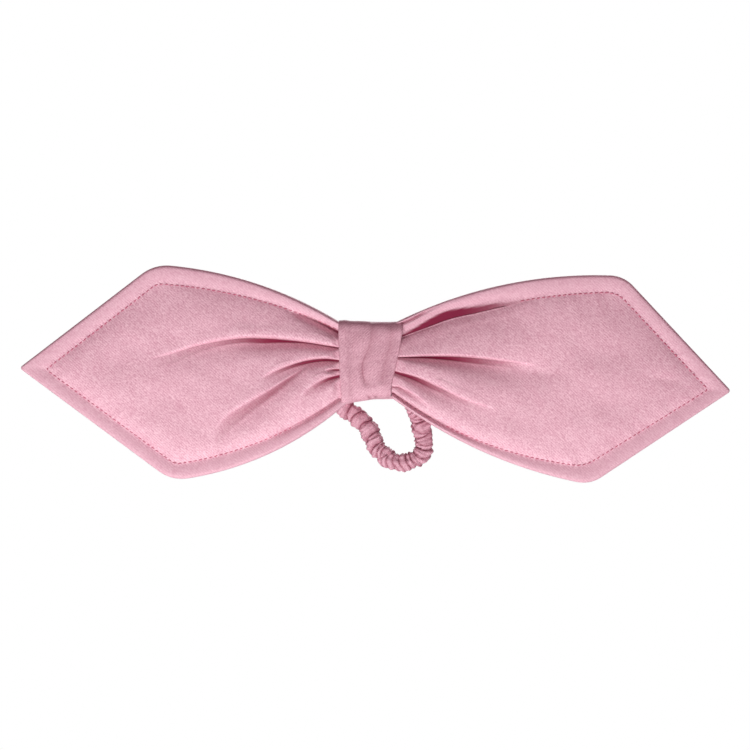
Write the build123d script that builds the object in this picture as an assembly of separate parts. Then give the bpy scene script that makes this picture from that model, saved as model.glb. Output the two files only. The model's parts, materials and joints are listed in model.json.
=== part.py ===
from build123d import *
import os
from dataclasses import dataclass
from math import cos, pi, sin, sqrt

os.makedirs("parts", exist_ok=True)

# Hair bow on a ruched elastic loop, upright as it is worn at the back of a head.
# +X is to the right of someone facing the bow, +Z is up, and the bow's front faces -Y.
# The origin is the middle of the knot's flat back, which seats on the hair.
# All sizes are in millimetres.

# ---- Knot band ----
band_top = 16.2              # height of the band's upper edge above the origin
band_bottom = -15.2          # height of its lower edge
band_left = -12.2            # its straight left edge
band_right_top = 13.4        # its right edge at the top
band_right_bottom = 9.2      # and at the bottom, where the band is drawn narrower
band_wall = 1.6              # folded band cloth
band_front_radius = 6.0
band_back_radius = 4.0
closing_stitches = 7         # stitches that close the band down its back
closing_pitch = 2.8
closing_stitch_length = 2.4
closing_stitch_width = 0.5
closing_x = 5.0              # where the band's end lies

# ---- Cloth ----
panel = 1.2                  # one satin panel with its fused backing
neck_thickness = 8.0         # a wing where it is gathered at the knot
wing_thickness = 3.4         # a wing further out
taper_length = 45.0          # how far out the gathers die away
border = 6.8                 # the wing's edge to its topstitching
rim = 0.4                    # thickness of the folded edge itself
seam_channel = 1.0           # room for the edge seam inside the fold
interlining = 0.8
interlining_start = 6.0      # the interlining stops short of the hinge by this
topstitch_width = 0.6
topstitch_proud = 0.3
seam_thread = 0.5
thread_start = 4.0           # threads start this far out from the hinge

# ---- Wings: distances from the middle of the knot, and heights ----


@dataclass
class WingShape:
    """One wing's outline. The reaches are counted outwards from the knot's middle."""

    side: int
    tip: tuple
    top_corner: tuple
    top_crown: tuple
    top_neck: tuple
    bottom_corner: tuple
    bottom_crown: tuple
    bottom_neck: tuple
    top_radius: float = 9.0
    bottom_radius: float = 5.0
    tip_radius: float = 1.5


left_shape = WingShape(
    side=-1,
    tip=(139.1, -2.4),
    top_corner=(85.4, 38.8),
    top_crown=(42.0, 30.4),
    top_neck=(12.4, 16.6),
    bottom_corner=(78.4, -46.9),
    bottom_crown=(42.0, -37.6),
    bottom_neck=(12.4, -19.4),
)
right_shape = WingShape(
    side=1,
    tip=(144.1, -11.6),
    top_corner=(101.4, 34.2),
    top_crown=(57.0, 31.0),
    top_neck=(13.6, 16.6),
    bottom_corner=(87.7, -48.8),
    bottom_crown=(46.8, -36.4),
    bottom_neck=(13.6, -17.0),
)

# ---- Pleats inside the band ----
pleats = 5                   # folds in each layer
pleat_cloth = 1.0
pleat_proud = 1.7            # the pleats stand out of the band's sides by this
gather_thread = 0.5
gather_thread_width = 1.2
gather_ease = 0.8            # the wound thread's corners are tighter than the band's inside by this
pleat_ease = 0.6             # the pleats stop short of the band's top and bottom by this

# ---- Hair loop ----
elastic_diameter = 3.6
elastic_ease = 0.4           # all round, between the elastic and the casing
casing_wall = 1.5            # ruched casing cloth
run_wall = 1.0               # the same cloth squeezed inside the band
whipping_wall = 0.25
whipping_length = 8.0
join_stitch_wall = 0.25
join_stitch_width = 1.4
join_stitch_x = 5.0
limb_top = -5.0              # height where the casing's two limbs start
limb_bottom = -26.0          # height where they meet the rounded end
# Corners of the loop's centre line (X, Z) and the bend at each, from the left round to the right.
loop_start = (-11.4, 0.0)
loop_route = [
    (-17.2, 0.0, 4.6),
    (-17.2, -17.8, 5.0),
    (-2.2, -22.4, 8.0),
    (5.0, -37.2, 9.0),
    (13.4, -40.8, 10.0),
    (21.8, -37.0, 6.8),
    (21.6, -28.5, 9.0),
    (17.0, -17.0, 9.0),
    (18.6, 0.0, 4.5),
]
loop_finish = (12.4, 0.0)
limb_divide_x = 7.0          # between the two limbs at the height where they are cut

# ---- Clearances ----
tunnel_gap = 0.9             # loop to the band's back wall and to the pleats
layer_gap = 0.1              # between cloth layers
body_gap = 0.3               # between pieces that move against each other
thread_gap = 0.05

# ---- Places that follow from the sizes ----
bore_diameter = elastic_diameter + 2 * elastic_ease
casing_diameter = bore_diameter + 2 * casing_wall
run_diameter = bore_diameter + 2 * run_wall
neck_radius = neck_thickness / 2
wing_half = wing_thickness / 2
loop_y = -(band_wall + tunnel_gap + run_diameter / 2)
pleats_back_y = -(band_wall + run_diameter + 2 * tunnel_gap)
mid_y = pleats_back_y - layer_gap - neck_radius
band_front_y = mid_y - neck_radius - layer_gap - band_wall
hinge_offset = pleat_proud + body_gap + neck_radius
left_hinge_x = band_left - hinge_offset
right_hinge_x = band_right_top + hinge_offset
far = 400.0                  # longer than anything in the part


def save(solid, node):
    """Writes one named piece."""
    solid.label = node
    export_step(solid, f"parts/{node}.step")
    print(f"{node}: {solid.volume:.1f} mm3")


# ---------------------------------------------------------------- wings


def hinge_x(shape):
    """Where this wing's bending line is."""
    return left_hinge_x if shape.side < 0 else right_hinge_x


def outline(shape):
    """The wing's face in the XZ plane, carried on past the neck to the middle of the knot."""
    s = shape.side

    def spot(point):
        return (s * point[0], point[1])

    top_neck = spot(shape.top_neck)
    bottom_neck = spot(shape.bottom_neck)
    with BuildSketch(Plane.XY) as sketch:
        with BuildLine():
            ThreePointArc(spot(shape.top_corner), spot(shape.top_crown), top_neck)
            Polyline(top_neck, (0, top_neck[1]), (0, bottom_neck[1]), bottom_neck)
            ThreePointArc(bottom_neck, spot(shape.bottom_crown), spot(shape.bottom_corner))
            Polyline(spot(shape.bottom_corner), spot(shape.tip), spot(shape.top_corner))
        make_face()
        for place, radius in (
            (shape.top_corner, shape.top_radius),
            (shape.bottom_corner, shape.bottom_radius),
            (shape.tip, shape.tip_radius),
        ):
            nearest = sketch.vertices().sort_by_distance((*spot(place), 0))[0]
            fillet(nearest, radius)
    return sketch.sketch


def prism(face):
    """A face drawn as (X, Z) made into a bar that runs right through the part along Y."""
    upright = Plane.XZ * face
    return extrude(upright, amount=far / 2, both=True)


def inset(face, amount):
    """The outline drawn in by an amount."""
    return offset(face, amount=-amount, kind=Kind.INTERSECTION) if amount else face


def frame_prism(face, outer, inner):
    """A bar that follows the outline between two insets."""
    return prism(inset(face, outer)) - prism(inset(face, inner))


def chain(depth):
    """Outer line of the wing's half section, drawn in by a depth: (outwards, from the middle)."""
    reach = neck_radius - depth
    gap = layer_gap / 2
    start = (-sqrt(reach**2 - gap**2), gap)
    middle = (-reach * cos(pi / 4), reach * sin(pi / 4))
    return start, middle, (0, reach), (taper_length, wing_half - depth), (far / 2, wing_half - depth)


def section_bar(shape, front, face):
    """A half-section face made into an upright bar on the wing's hinge line."""
    s = shape.side
    bar = extrude(face, amount=far / 4, both=True)
    if s < 0:
        bar = mirror(bar, about=Plane.YZ)
    if front:
        bar = mirror(bar, about=Plane.XZ)
    return bar.translate(Vector(hinge_x(shape), mid_y, 0))


def skin_bar(shape, front, outer_depth, inner_depth):
    """The bar between two depths under the wing's outer face, closed round the neck."""
    a = chain(outer_depth)
    b = chain(inner_depth)
    with BuildSketch(Plane.XY) as sketch:
        with BuildLine():
            ThreePointArc(a[0], a[1], a[2])
            Polyline(a[2], a[3], a[4], b[4], b[3], b[2])
            ThreePointArc(b[2], b[1], b[0])
            Line(b[0], a[0])
        make_face()
    return section_bar(shape, front, sketch.sketch)


def surface_bar(shape, front, outer_depth, inner_depth, start):
    """The bar between two depths, from a start distance outwards."""
    slope = (wing_half - neck_radius) / taper_length
    rise = start * slope
    with BuildSketch(Plane.XY) as sketch:
        with BuildLine():
            Polyline(
                (start, neck_radius + rise - outer_depth),
                (taper_length, wing_half - outer_depth),
                (far / 2, wing_half - outer_depth),
                (far / 2, wing_half - inner_depth),
                (taper_length, wing_half - inner_depth),
                (start, neck_radius + rise - inner_depth),
                close=True,
            )
        make_face()
    return section_bar(shape, front, sketch.sketch)


def filling_bar(shape, front):
    """The bar from the panel's inner face to the middle of the wing."""
    gap = layer_gap / 2
    with BuildSketch(Plane.XY) as sketch:
        with BuildLine():
            Polyline(
                (0, neck_radius - panel),
                (taper_length, wing_half - panel),
                (far / 2, wing_half - panel),
                (far / 2, gap),
                (0, gap),
                close=True,
            )
        make_face()
    return section_bar(shape, front, sketch.sketch)


def layer_bar(shape, start, thickness):
    """A flat layer in the middle of the wing."""
    with BuildSketch(Plane.XY) as sketch:
        with Locations((start + far / 4, 0)):
            Rectangle(far / 2, thickness)
    return section_bar(shape, False, sketch.sketch)


def make_panel(shape, face, front):
    """A satin panel: its skin, its folded edge and its turned-in seam allowance."""
    skin = prism(face) & skin_bar(shape, front, 0, panel)
    filling = filling_bar(shape, front)
    fold = frame_prism(face, 0, rim) & filling
    allowance = frame_prism(face, rim + seam_channel, border) & filling
    return skin + fold + allowance


def make_topstitching(shape, face, front):
    """The line of topstitching that lies on a panel."""
    line = frame_prism(face, border - topstitch_width / 2, border + topstitch_width / 2)
    return line & surface_bar(shape, front, -topstitch_proud, 0, thread_start)


def make_edge_seam(shape, face):
    """The seam thread inside the folded edge."""
    inner_side = rim + seam_channel - (seam_channel - seam_thread) / 2
    line = frame_prism(face, inner_side - seam_thread, inner_side)
    return line & layer_bar(shape, thread_start, seam_thread)


def make_interlining(shape, face):
    """The stiffening layer, cut to lie inside the turned-in edges."""
    return prism(inset(face, border + layer_gap)) & layer_bar(shape, interlining_start, interlining)


def make_wing(shape, name):
    """Writes all the pieces of one wing."""
    face = outline(shape)
    save(make_panel(shape, face, True), f"{name}_front_panel")
    save(make_panel(shape, face, False), f"{name}_back_panel")
    save(make_interlining(shape, face), f"{name}_interlining")
    save(make_edge_seam(shape, face), f"{name}_edge_seam")
    save(make_topstitching(shape, face, True), f"{name}_topstitch_front")
    save(make_topstitching(shape, face, False), f"{name}_topstitch_back")


# ---------------------------------------------------------------- knot


def band_section(depth):
    """The band's ring section in the YZ plane, drawn in by a depth."""
    front_y = band_front_y + depth
    back_y = -depth
    top = band_top - depth
    bottom = band_bottom + depth
    with BuildSketch(Plane.YZ) as sketch:
        with Locations(((front_y + back_y) / 2, (top + bottom) / 2)):
            Rectangle(back_y - front_y, top - bottom)
        corners = sketch.vertices().sort_by(Axis.Y)
        fillet(corners[:2], band_front_radius - depth)
        corners = [v for v in sketch.vertices() if v.Y > back_y - 0.01]
        fillet(corners, band_back_radius - depth)
    return sketch.sketch


def closing_stitch_places():
    """Heights of the stitches that close the band."""
    middle = (band_top + band_bottom) / 2
    return [middle + (i - (closing_stitches - 1) / 2) * closing_pitch for i in range(closing_stitches)]


def stitch_bars(length, width, low_y, high_y):
    """One small bar for each closing stitch."""
    bars = []
    for height in closing_stitch_places():
        bar = Box(length, high_y - low_y, width)
        bars.append(bar.translate(Vector(closing_x, (low_y + high_y) / 2, height)))
    return Compound(children=bars)


def make_band():
    """The wrapped band, with its slanted right edge and the holes of its closing stitches."""
    ring = extrude(band_section(0) - band_section(band_wall), amount=far / 4, both=True)
    with BuildSketch(Plane.XY) as sketch:
        with BuildLine():
            Polyline(
                (band_left, band_top),
                (band_right_top, band_top),
                (band_right_bottom, band_bottom),
                (band_left, band_bottom),
                close=True,
            )
        make_face()
    band = ring & prism(sketch.sketch)
    pockets = stitch_bars(
        closing_stitch_length + 2 * thread_gap,
        closing_stitch_width + 2 * thread_gap,
        -closing_stitch_width - 3 * thread_gap,
        1.0,
    )
    return band - pockets


def make_closing_stitches():
    """The closing stitches, sunk just under the band's back face."""
    low_y = -closing_stitch_width - 2 * thread_gap
    return stitch_bars(closing_stitch_length, closing_stitch_width, low_y, -2 * thread_gap)


def pleat_room():
    """Half height and middle height of the space that the pleats fill."""
    inside = (band_top - band_bottom) / 2 - band_wall - gather_thread - 2 * layer_gap - pleat_ease
    return inside, (band_top + band_bottom) / 2


def make_pleats(front):
    """One layer of the panels' middle, folded into pleats that run along X."""
    half_height, middle = pleat_room()
    near = layer_gap / 2
    deep = neck_radius - gather_thread - layer_gap
    side = -1 if front else 1
    count = 2 * pleats
    step = (2 * half_height - pleat_cloth) / count
    low, high = near, deep - pleat_cloth
    inner = []
    outer = []
    for i in range(count + 1):
        z = middle - half_height + pleat_cloth / 2 + i * step
        v = high if i % 2 else low
        inner.append((v, z))
        outer.append((v + pleat_cloth, z))
    points = [(mid_y + side * v, z) for v, z in inner + outer[::-1]]
    with BuildSketch(Plane.YZ) as sketch:
        with BuildLine():
            Polyline(*points, close=True)
        make_face()
    start = band_left - pleat_proud
    length = band_right_top + pleat_proud - start
    return extrude(sketch.sketch, amount=length).translate(Vector(start, 0, 0))


def make_gathering_thread():
    """The thread wound round the pleats in the middle of the knot."""
    half_height, middle = pleat_room()
    inside_y = 2 * (neck_radius - gather_thread)
    inside_z = 2 * (half_height + layer_gap)
    corner = band_front_radius - band_wall - gather_ease
    with BuildSketch(Plane.YZ) as sketch:
        with Locations((mid_y, middle)):
            RectangleRounded(inside_y + 2 * gather_thread, inside_z + 2 * gather_thread, corner)
            inner_corner = corner - gather_thread
            RectangleRounded(inside_y, inside_z, inner_corner, mode=Mode.SUBTRACT)
    return extrude(sketch.sketch, amount=gather_thread_width / 2, both=True)


# ---------------------------------------------------------------- hair loop


def tube_along_x(start, finish, outer, inner):
    """A tube on the loop's axis inside the band."""
    ring = Circle(outer / 2) - Circle(inner / 2) if inner else Circle(outer / 2)
    bar = extrude(Plane.YZ * ring, amount=finish - start)
    return bar.translate(Vector(start, loop_y, 0))


def drop_path():
    """Centre line of the hanging part of the loop."""
    points = [loop_start, *[corner[:2] for corner in loop_route], loop_finish]
    places = [(x, loop_y, z) for x, z in points]
    return FilletPolyline(*places, radius=[corner[2] for corner in loop_route])


def drop_bar(path, diameter):
    """A round bar along the hanging part."""
    start = Plane(origin=path @ 0, z_dir=path % 0)
    return sweep(start * Circle(diameter / 2), path=path)


def slab(low, high):
    """A slab between two heights."""
    return Box(far, far, high - low).translate(Vector(0, 0, (low + high) / 2))


def half_slab(low, high, side):
    """The part of a slab on one side of the line between the two limbs."""
    wide = Box(far, far, high - low)
    return wide.translate(Vector(limb_divide_x + side * far / 2, 0, (low + high) / 2))


def make_loop():
    """Writes the casing, the elastic inside it, and what joins their ends."""
    path = drop_path()
    turns = [corner[2] for corner in loop_route]
    print("loop centre line", round(path.length + loop_finish[0] - loop_start[0], 1), "bends", turns)
    casing = drop_bar(path, casing_diameter) - drop_bar(path, bore_diameter)
    elastic = drop_bar(path, elastic_diameter)
    cut = body_gap / 2
    top_slab = slab(limb_top + cut, far / 2)
    end_slab = slab(-far / 2, limb_bottom - cut)
    casing_run = tube_along_x(loop_start[0], loop_finish[0], run_diameter, bore_diameter)
    elastic_run = tube_along_x(loop_start[0], loop_finish[0], elastic_diameter, 0)
    save(casing_run + (casing & top_slab), "casing_run")
    save(elastic_run + (elastic & top_slab), "elastic_run")
    for name, side in (("left", -1), ("right", 1)):
        limb_slab = half_slab(limb_bottom + cut, limb_top - cut, side)
        save(casing & limb_slab, f"casing_{name}_limb")
        save(elastic & limb_slab, f"elastic_{name}_limb")
    save(casing & end_slab, "casing_end")
    save(elastic & end_slab, "elastic_end")
    whipping_bore = elastic_diameter + 2 * thread_gap
    half = whipping_length / 2
    save(tube_along_x(-half, half, whipping_bore + 2 * whipping_wall, whipping_bore), "elastic_whipping")
    join_bore = run_diameter + 2 * thread_gap
    join_outer = join_bore + 2 * join_stitch_wall
    join_end = join_stitch_x + join_stitch_width
    save(tube_along_x(join_stitch_x, join_end, join_outer, join_bore), "casing_join_stitches")


make_wing(left_shape, "left")
make_wing(right_shape, "right")
save(make_band(), "knot_band")
save(make_closing_stitches(), "band_closing_stitches")
save(make_pleats(True), "front_pleats")
save(make_pleats(False), "back_pleats")
save(make_gathering_thread(), "gathering_thread")
make_loop()
print(f"hinges at X {left_hinge_x:.2f} and {right_hinge_x:.2f}, Y {mid_y:.2f}; loop axis Y {loop_y:.2f}")
print(f"band front at Y {band_front_y:.2f}")
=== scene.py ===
import json
import logging
import math
from dataclasses import dataclass, field
from enum import Enum

import bpy
import numpy as np
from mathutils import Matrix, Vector


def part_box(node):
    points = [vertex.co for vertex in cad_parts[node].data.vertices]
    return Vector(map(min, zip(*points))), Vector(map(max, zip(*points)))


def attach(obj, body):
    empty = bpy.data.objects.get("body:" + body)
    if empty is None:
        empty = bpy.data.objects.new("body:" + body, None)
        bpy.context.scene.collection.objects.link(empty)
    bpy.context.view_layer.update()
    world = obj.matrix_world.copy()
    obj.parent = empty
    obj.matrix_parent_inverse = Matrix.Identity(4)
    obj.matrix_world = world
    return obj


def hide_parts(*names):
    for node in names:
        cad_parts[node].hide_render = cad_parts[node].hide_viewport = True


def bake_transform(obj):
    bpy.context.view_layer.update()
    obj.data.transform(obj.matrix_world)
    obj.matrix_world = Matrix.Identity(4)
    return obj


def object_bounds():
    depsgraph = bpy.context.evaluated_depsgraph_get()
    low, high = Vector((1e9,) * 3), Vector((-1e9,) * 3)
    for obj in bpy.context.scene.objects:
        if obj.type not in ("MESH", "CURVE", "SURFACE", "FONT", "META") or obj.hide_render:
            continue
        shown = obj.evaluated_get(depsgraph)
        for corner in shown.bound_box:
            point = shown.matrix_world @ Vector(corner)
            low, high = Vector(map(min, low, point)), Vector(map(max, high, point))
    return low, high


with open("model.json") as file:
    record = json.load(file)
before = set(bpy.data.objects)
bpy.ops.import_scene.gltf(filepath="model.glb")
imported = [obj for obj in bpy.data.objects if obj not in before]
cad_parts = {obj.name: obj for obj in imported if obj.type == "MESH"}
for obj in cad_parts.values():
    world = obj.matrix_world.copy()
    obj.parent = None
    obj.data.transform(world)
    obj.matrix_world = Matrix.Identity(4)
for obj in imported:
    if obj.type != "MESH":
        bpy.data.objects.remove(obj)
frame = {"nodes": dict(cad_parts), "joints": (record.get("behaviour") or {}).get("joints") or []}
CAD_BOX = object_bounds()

# A satin hair bow on a ruched elastic loop, upright, with its front facing -Y.
# Lengths are in millimetres here and become metres when a mesh is made.
MM = 0.001
FULL_TURN = 2.0 * math.pi
BANDS_ONE_APART = 0.31416  # scale of a wave texture whose bands lie one unit apart
log = logging.getLogger("hair_bow")
Points = np.ndarray
Piece = bpy.types.Object
Material = bpy.types.Material
Socket = bpy.types.NodeSocket
Colour = tuple[float, float, float]


class Side(Enum):
    """Which wing a piece belongs to, with the direction that it reaches along X."""

    LEFT = -1
    RIGHT = 1

    @property
    def word(self) -> str:
        """The side's name in piece names."""
        return self.name.lower()


class Face(Enum):
    """Which way a layer of the bow faces along Y."""

    FRONT = -1
    BACK = 1

    @property
    def word(self) -> str:
        """The face's name in piece names."""
        return self.name.lower()


# ---------------------------------------------------------------- shape helpers


def smooth_step(value: Points | float, low: float, high: float) -> Points:
    """Rise from 0 to 1 with level ends.

    Args:
        value: Where to read the rise.
        low: Value at which it starts.
        high: Value at which it ends.

    Returns:
        The rise at each value.
    """
    share = np.clip((np.asarray(value, float) - low) / (high - low), 0.0, 1.0)
    return share * share * (3.0 - 2.0 * share)


def smooth_line(knots: list[tuple[float, float]], at: Points) -> Points:
    """Read a smooth curve through a few points.

    Args:
        knots: Points (place, value) in rising order of place.
        at: Places to read the curve at.

    Returns:
        The curve's values, level outside its ends.
    """
    places = np.array([knot[0] for knot in knots])
    values = np.array([knot[1] for knot in knots])
    slopes = np.gradient(values, places)
    at = np.clip(at, places[0], places[-1])
    left = np.clip(np.searchsorted(places, at) - 1, 0, len(places) - 2)
    span = places[left + 1] - places[left]
    share = (at - places[left]) / span
    rise = share * share * (3.0 - 2.0 * share)
    start_bend = share * (1.0 - share) ** 2 * span * slopes[left]
    end_bend = share * share * (share - 1.0) * span * slopes[left + 1]
    return values[left] * (1.0 - rise) + values[left + 1] * rise + start_bend + end_bend


def arc_through(start: tuple, middle: tuple, end: tuple, count: int = 60) -> Points:
    """Points of the arc through three points.

    Args:
        start: First point.
        middle: A point on the arc.
        end: Last point.
        count: Number of spans.

    Returns:
        The arc's points, from start to end.
    """
    a, b, c = (np.array(point, float) for point in (start, middle, end))
    system = 2.0 * np.array([b - a, c - a])
    centre = np.linalg.solve(system, np.array([b @ b - a @ a, c @ c - a @ a]))
    radius = np.linalg.norm(a - centre)
    angles = [math.atan2(*(point - centre)[::-1]) for point in (a, b, c)]
    first, second, last = np.unwrap(angles)
    if (second - first) * (last - second) < 0:
        last += math.copysign(FULL_TURN, second - first)
    turn = np.linspace(first, last, count + 1)
    return centre + radius * np.column_stack([np.cos(turn), np.sin(turn)])


def lengths_along(line: Points) -> Points:
    """Distance along a line at each of its points."""
    steps = np.linalg.norm(np.diff(line, axis=0), axis=1)
    return np.concatenate([[0.0], np.cumsum(steps)])


def resample(line: Points, count: int) -> Points:
    """Spread points evenly along a line.

    Args:
        line: The line's points.
        count: Number of equal spans.

    Returns:
        count + 1 points from its start to its end.
    """
    along = lengths_along(line)
    places = np.linspace(0.0, along[-1], count + 1)
    return np.column_stack([np.interp(places, along, line[:, k]) for k in range(line.shape[1])])


def nearest_on(points: Points, line: Points) -> tuple[Points, Points]:
    """Distance from points to a line of straight spans.

    Args:
        points: Points to measure from, one row each.
        line: The line's points.

    Returns:
        The distance of each point, and how far along the line its nearest place is.
    """
    best = np.full(len(points), 1e9)
    place = np.zeros(len(points))
    along = lengths_along(line)
    for k in range(len(line) - 1):
        span = line[k + 1] - line[k]
        length = max(along[k + 1] - along[k], 1e-9)
        share = np.clip((points - line[k]) @ span / length**2, 0.0, 1.0)
        distance = np.linalg.norm(points - line[k] - share[:, None] * span, axis=1)
        closer = distance < best
        best = np.where(closer, distance, best)
        place = np.where(closer, along[k] + share * length, place)
    return best, place


def ripple(x: Points, z: Points, size: float, seed: int, waves: int = 7) -> Points:
    """A soft uneven surface made of a few crossing waves.

    Args:
        x: First coordinate.
        z: Second coordinate.
        size: Typical distance between two rises.
        seed: Fixes the waves, so that each run is the same.
        waves: Number of waves.

    Returns:
        Heights of about -1 to 1.
    """
    draw = np.random.default_rng(seed)
    total = np.zeros(np.broadcast(x, z).shape)
    for _ in range(waves):
        heading = draw.uniform(0.0, FULL_TURN)
        pitch = size * draw.uniform(0.7, 1.6)
        phase = draw.uniform(0.0, FULL_TURN)
        total += np.sin(FULL_TURN * (x * math.cos(heading) + z * math.sin(heading)) / pitch + phase)
    return total / math.sqrt(waves)


def grid_quads(rows: int, columns: int, flip: bool = False, wrap: bool = False) -> list[tuple]:
    """Faces of a grid of points stored row by row.

    Args:
        rows: Number of rows of points.
        columns: Number of points in a row.
        flip: Turn the faces over.
        wrap: Join the last column to the first.

    Returns:
        The faces as tuples of point numbers.
    """
    last = columns if wrap else columns - 1
    row, column = np.meshgrid(np.arange(rows - 1), np.arange(last), indexing="ij")
    beside = (column + 1) % columns
    corners = [row * columns + column, (row + 1) * columns + column]
    corners += [(row + 1) * columns + beside, row * columns + beside]
    if flip:
        corners.reverse()
    return list(map(tuple, np.stack(corners, -1).reshape(-1, 4).tolist()))


def make_mesh(
    name: str,
    points: Points,
    quads: list[tuple],
    material: Material,
    cloth: Points | None = None,
    hem: Points | None = None,
    fold: Points | None = None,
) -> Piece:
    """Make a smooth mesh object.

    Args:
        name: The piece's name.
        points: Its points in millimetres.
        quads: Its faces.
        material: Its finish.
        cloth: Where each point lies on the flat cloth, in millimetres.
        hem: How far each point is into a doubled edge, from 0 to 1.
        fold: Share of painted shade at each point, darkest deep in creases, from 0 to 1.

    Returns:
        The new object, linked to the scene.
    """
    mesh = bpy.data.meshes.new(name)
    mesh.from_pydata((np.asarray(points) * MM).tolist(), [], quads)
    mesh.shade_smooth()
    mesh.materials.append(material)
    place = points if cloth is None else cloth
    attribute = mesh.attributes.new("cloth", "FLOAT_VECTOR", "POINT")
    attribute.data.foreach_set("vector", np.asarray(place, np.float32).ravel())
    # The fold attribute holds the share of painted crease shade.
    for label, values in (("hem", hem), ("fold", fold)):
        share = np.zeros(len(points)) if values is None else values
        attribute = mesh.attributes.new(label, "FLOAT", "POINT")
        attribute.data.foreach_set("value", np.asarray(share, np.float32))
    made = bpy.data.objects.new(name, mesh)
    bpy.context.scene.collection.objects.link(made)
    return made


def finish_node(name: str, finish: Material) -> None:
    """Give a CAD piece that stays as it is its finish.

    Args:
        name: The piece's node.
        finish: Its material.
    """
    cad = frame["nodes"][name]
    cad.data.materials.clear()
    cad.data.materials.append(finish)


def tube_points(path: Points, radius: Points, around: int, closed: bool = False) -> Points:
    """Points of a tube that lies in a plane of constant Y.

    Args:
        path: Centre line, one row (X, Y, Z) for each ring.
        radius: Radius at each ring and each place round it.
        around: Number of points round the tube.
        closed: Whether the path's end joins its start.

    Returns:
        The points ring by ring; place 0 is on the left of the path's direction.
    """
    if closed:
        ahead = np.roll(path, -1, axis=0) - np.roll(path, 1, axis=0)
    else:
        ahead = np.gradient(path, axis=0)
    ahead /= np.linalg.norm(ahead, axis=1)[:, None]
    across = np.column_stack([-ahead[:, 2], np.zeros(len(path)), ahead[:, 0]])
    turn = np.linspace(0.0, FULL_TURN, around, endpoint=False)
    out = across[:, None, :] * np.cos(turn)[None, :, None]
    out = out + np.array([0.0, 1.0, 0.0]) * np.sin(turn)[None, :, None]
    return (path[:, None, :] + out * radius[:, :, None]).reshape(-1, 3)


def closed_tube_quads(rings: int, around: int) -> list[tuple]:
    """Faces of a tube whose last ring joins its first.

    Args:
        rings: Number of rings.
        around: Number of points in a ring.

    Returns:
        The faces as tuples of point numbers.
    """
    quads = grid_quads(rings, around, wrap=True)
    last = (rings - 1) * around
    for k in range(around):
        beside = (k + 1) % around
        quads.append((last + k, k, beside, last + beside))
    return quads


def tube_cloth(along: Points, around: int, width: float) -> Points:
    """Where a tube's points lie on its flat cloth.

    Args:
        along: Distance along the flat cloth at each ring.
        around: Number of points round the tube.
        width: Width of the cloth that goes once round it.

    Returns:
        Places on the cloth, ring by ring.
    """
    turn = np.linspace(0.0, 1.0, around, endpoint=False) * width
    length, across = np.meshgrid(along, turn, indexing="ij")
    return np.column_stack([length.ravel(), across.ravel(), np.zeros(length.size)])


# ---------------------------------------------------------------- finishes


class NodeSheet:
    """A material's nodes, added one at a time."""

    def __init__(self, name: str) -> None:
        """Start a material that has only its shader and its output.

        Args:
            name: The material's name.
        """
        self.material = bpy.data.materials.new(name)
        self.material.use_nodes = True
        self.tree = self.material.node_tree
        self.shader = self.tree.nodes["Principled BSDF"]

    def add(self, kind: str, inputs: dict | None = None, **settings: object) -> bpy.types.Node:
        """Add a node.

        Args:
            kind: The node's type.
            inputs: Values or sockets for its inputs, by name or number.
            **settings: Properties of the node.

        Returns:
            The node.
        """
        node = self.tree.nodes.new(kind)
        for key, value in settings.items():
            setattr(node, key, value)
        for key, value in (inputs or {}).items():
            if isinstance(value, Socket):
                self.tree.links.new(value, node.inputs[key])
            else:
                node.inputs[key].default_value = value
        return node

    def attribute(self, name: str) -> bpy.types.Node:
        """Add a reader of a mesh attribute."""
        return self.add("ShaderNodeAttribute", attribute_name=name)

    def maths(self, operation: str, *values: object) -> Socket:
        """Add one sum and give its result."""
        inputs = dict(enumerate(values))
        return self.add("ShaderNodeMath", inputs, operation=operation).outputs[0]

    def noise(self, place: Socket, scale: float, detail: float, **more: float) -> Socket:
        """Add soft noise and give its height."""
        inputs = {"Vector": place, "Scale": scale, "Detail": detail, **more}
        return self.add("ShaderNodeTexNoise", inputs).outputs[0]

    def bands(self, place: Socket, pitch: float, inputs: dict | None = None) -> Socket:
        """Add straight bands.

        Args:
            place: Where to read them.
            pitch: Distance from one band to the next.
            inputs: How they waver.

        Returns:
            Their height.
        """
        settings = {"Vector": place, "Scale": BANDS_ONE_APART / pitch, **(inputs or {})}
        return self.add("ShaderNodeTexWave", settings).outputs[0]

    def turned(self, place: Socket, angle: float) -> Socket:
        """Turn a place about its third axis."""
        return self.add("ShaderNodeMapping", {"Vector": place, "Rotation": (0.0, 0.0, angle)}).outputs[0]

    def mix(self, share: Socket, low: object, high: Colour) -> Socket:
        """Mix two colours.

        Args:
            share: How much of the second there is.
            low: The first colour, or a socket that gives it.
            high: The second colour.

        Returns:
            The mixed colour.
        """
        first = rgba(low) if isinstance(low, tuple) else low
        return self.add("ShaderNodeMix", {0: share, 6: first, 7: rgba(high)}, data_type="RGBA").outputs[2]

    def bump(self, height: Socket, strength: float, depth: float) -> Socket:
        """Raise the surface by a height; the depth is in millimetres."""
        inputs = {"Height": height, "Strength": strength, "Distance": depth * MM}
        return self.add("ShaderNodeBump", inputs).outputs[0]

    def set_shader(self, **values: object) -> None:
        """Set or link the shader's inputs; an underscore stands for a space."""
        for key, value in values.items():
            socket = self.shader.inputs[key.replace("_", " ")]
            if isinstance(value, Socket):
                self.tree.links.new(value, socket)
            else:
                socket.default_value = value


def rgba(colour: Colour) -> tuple[float, float, float, float]:
    """A linear colour with full cover."""
    return (*colour, 1.0)


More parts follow.
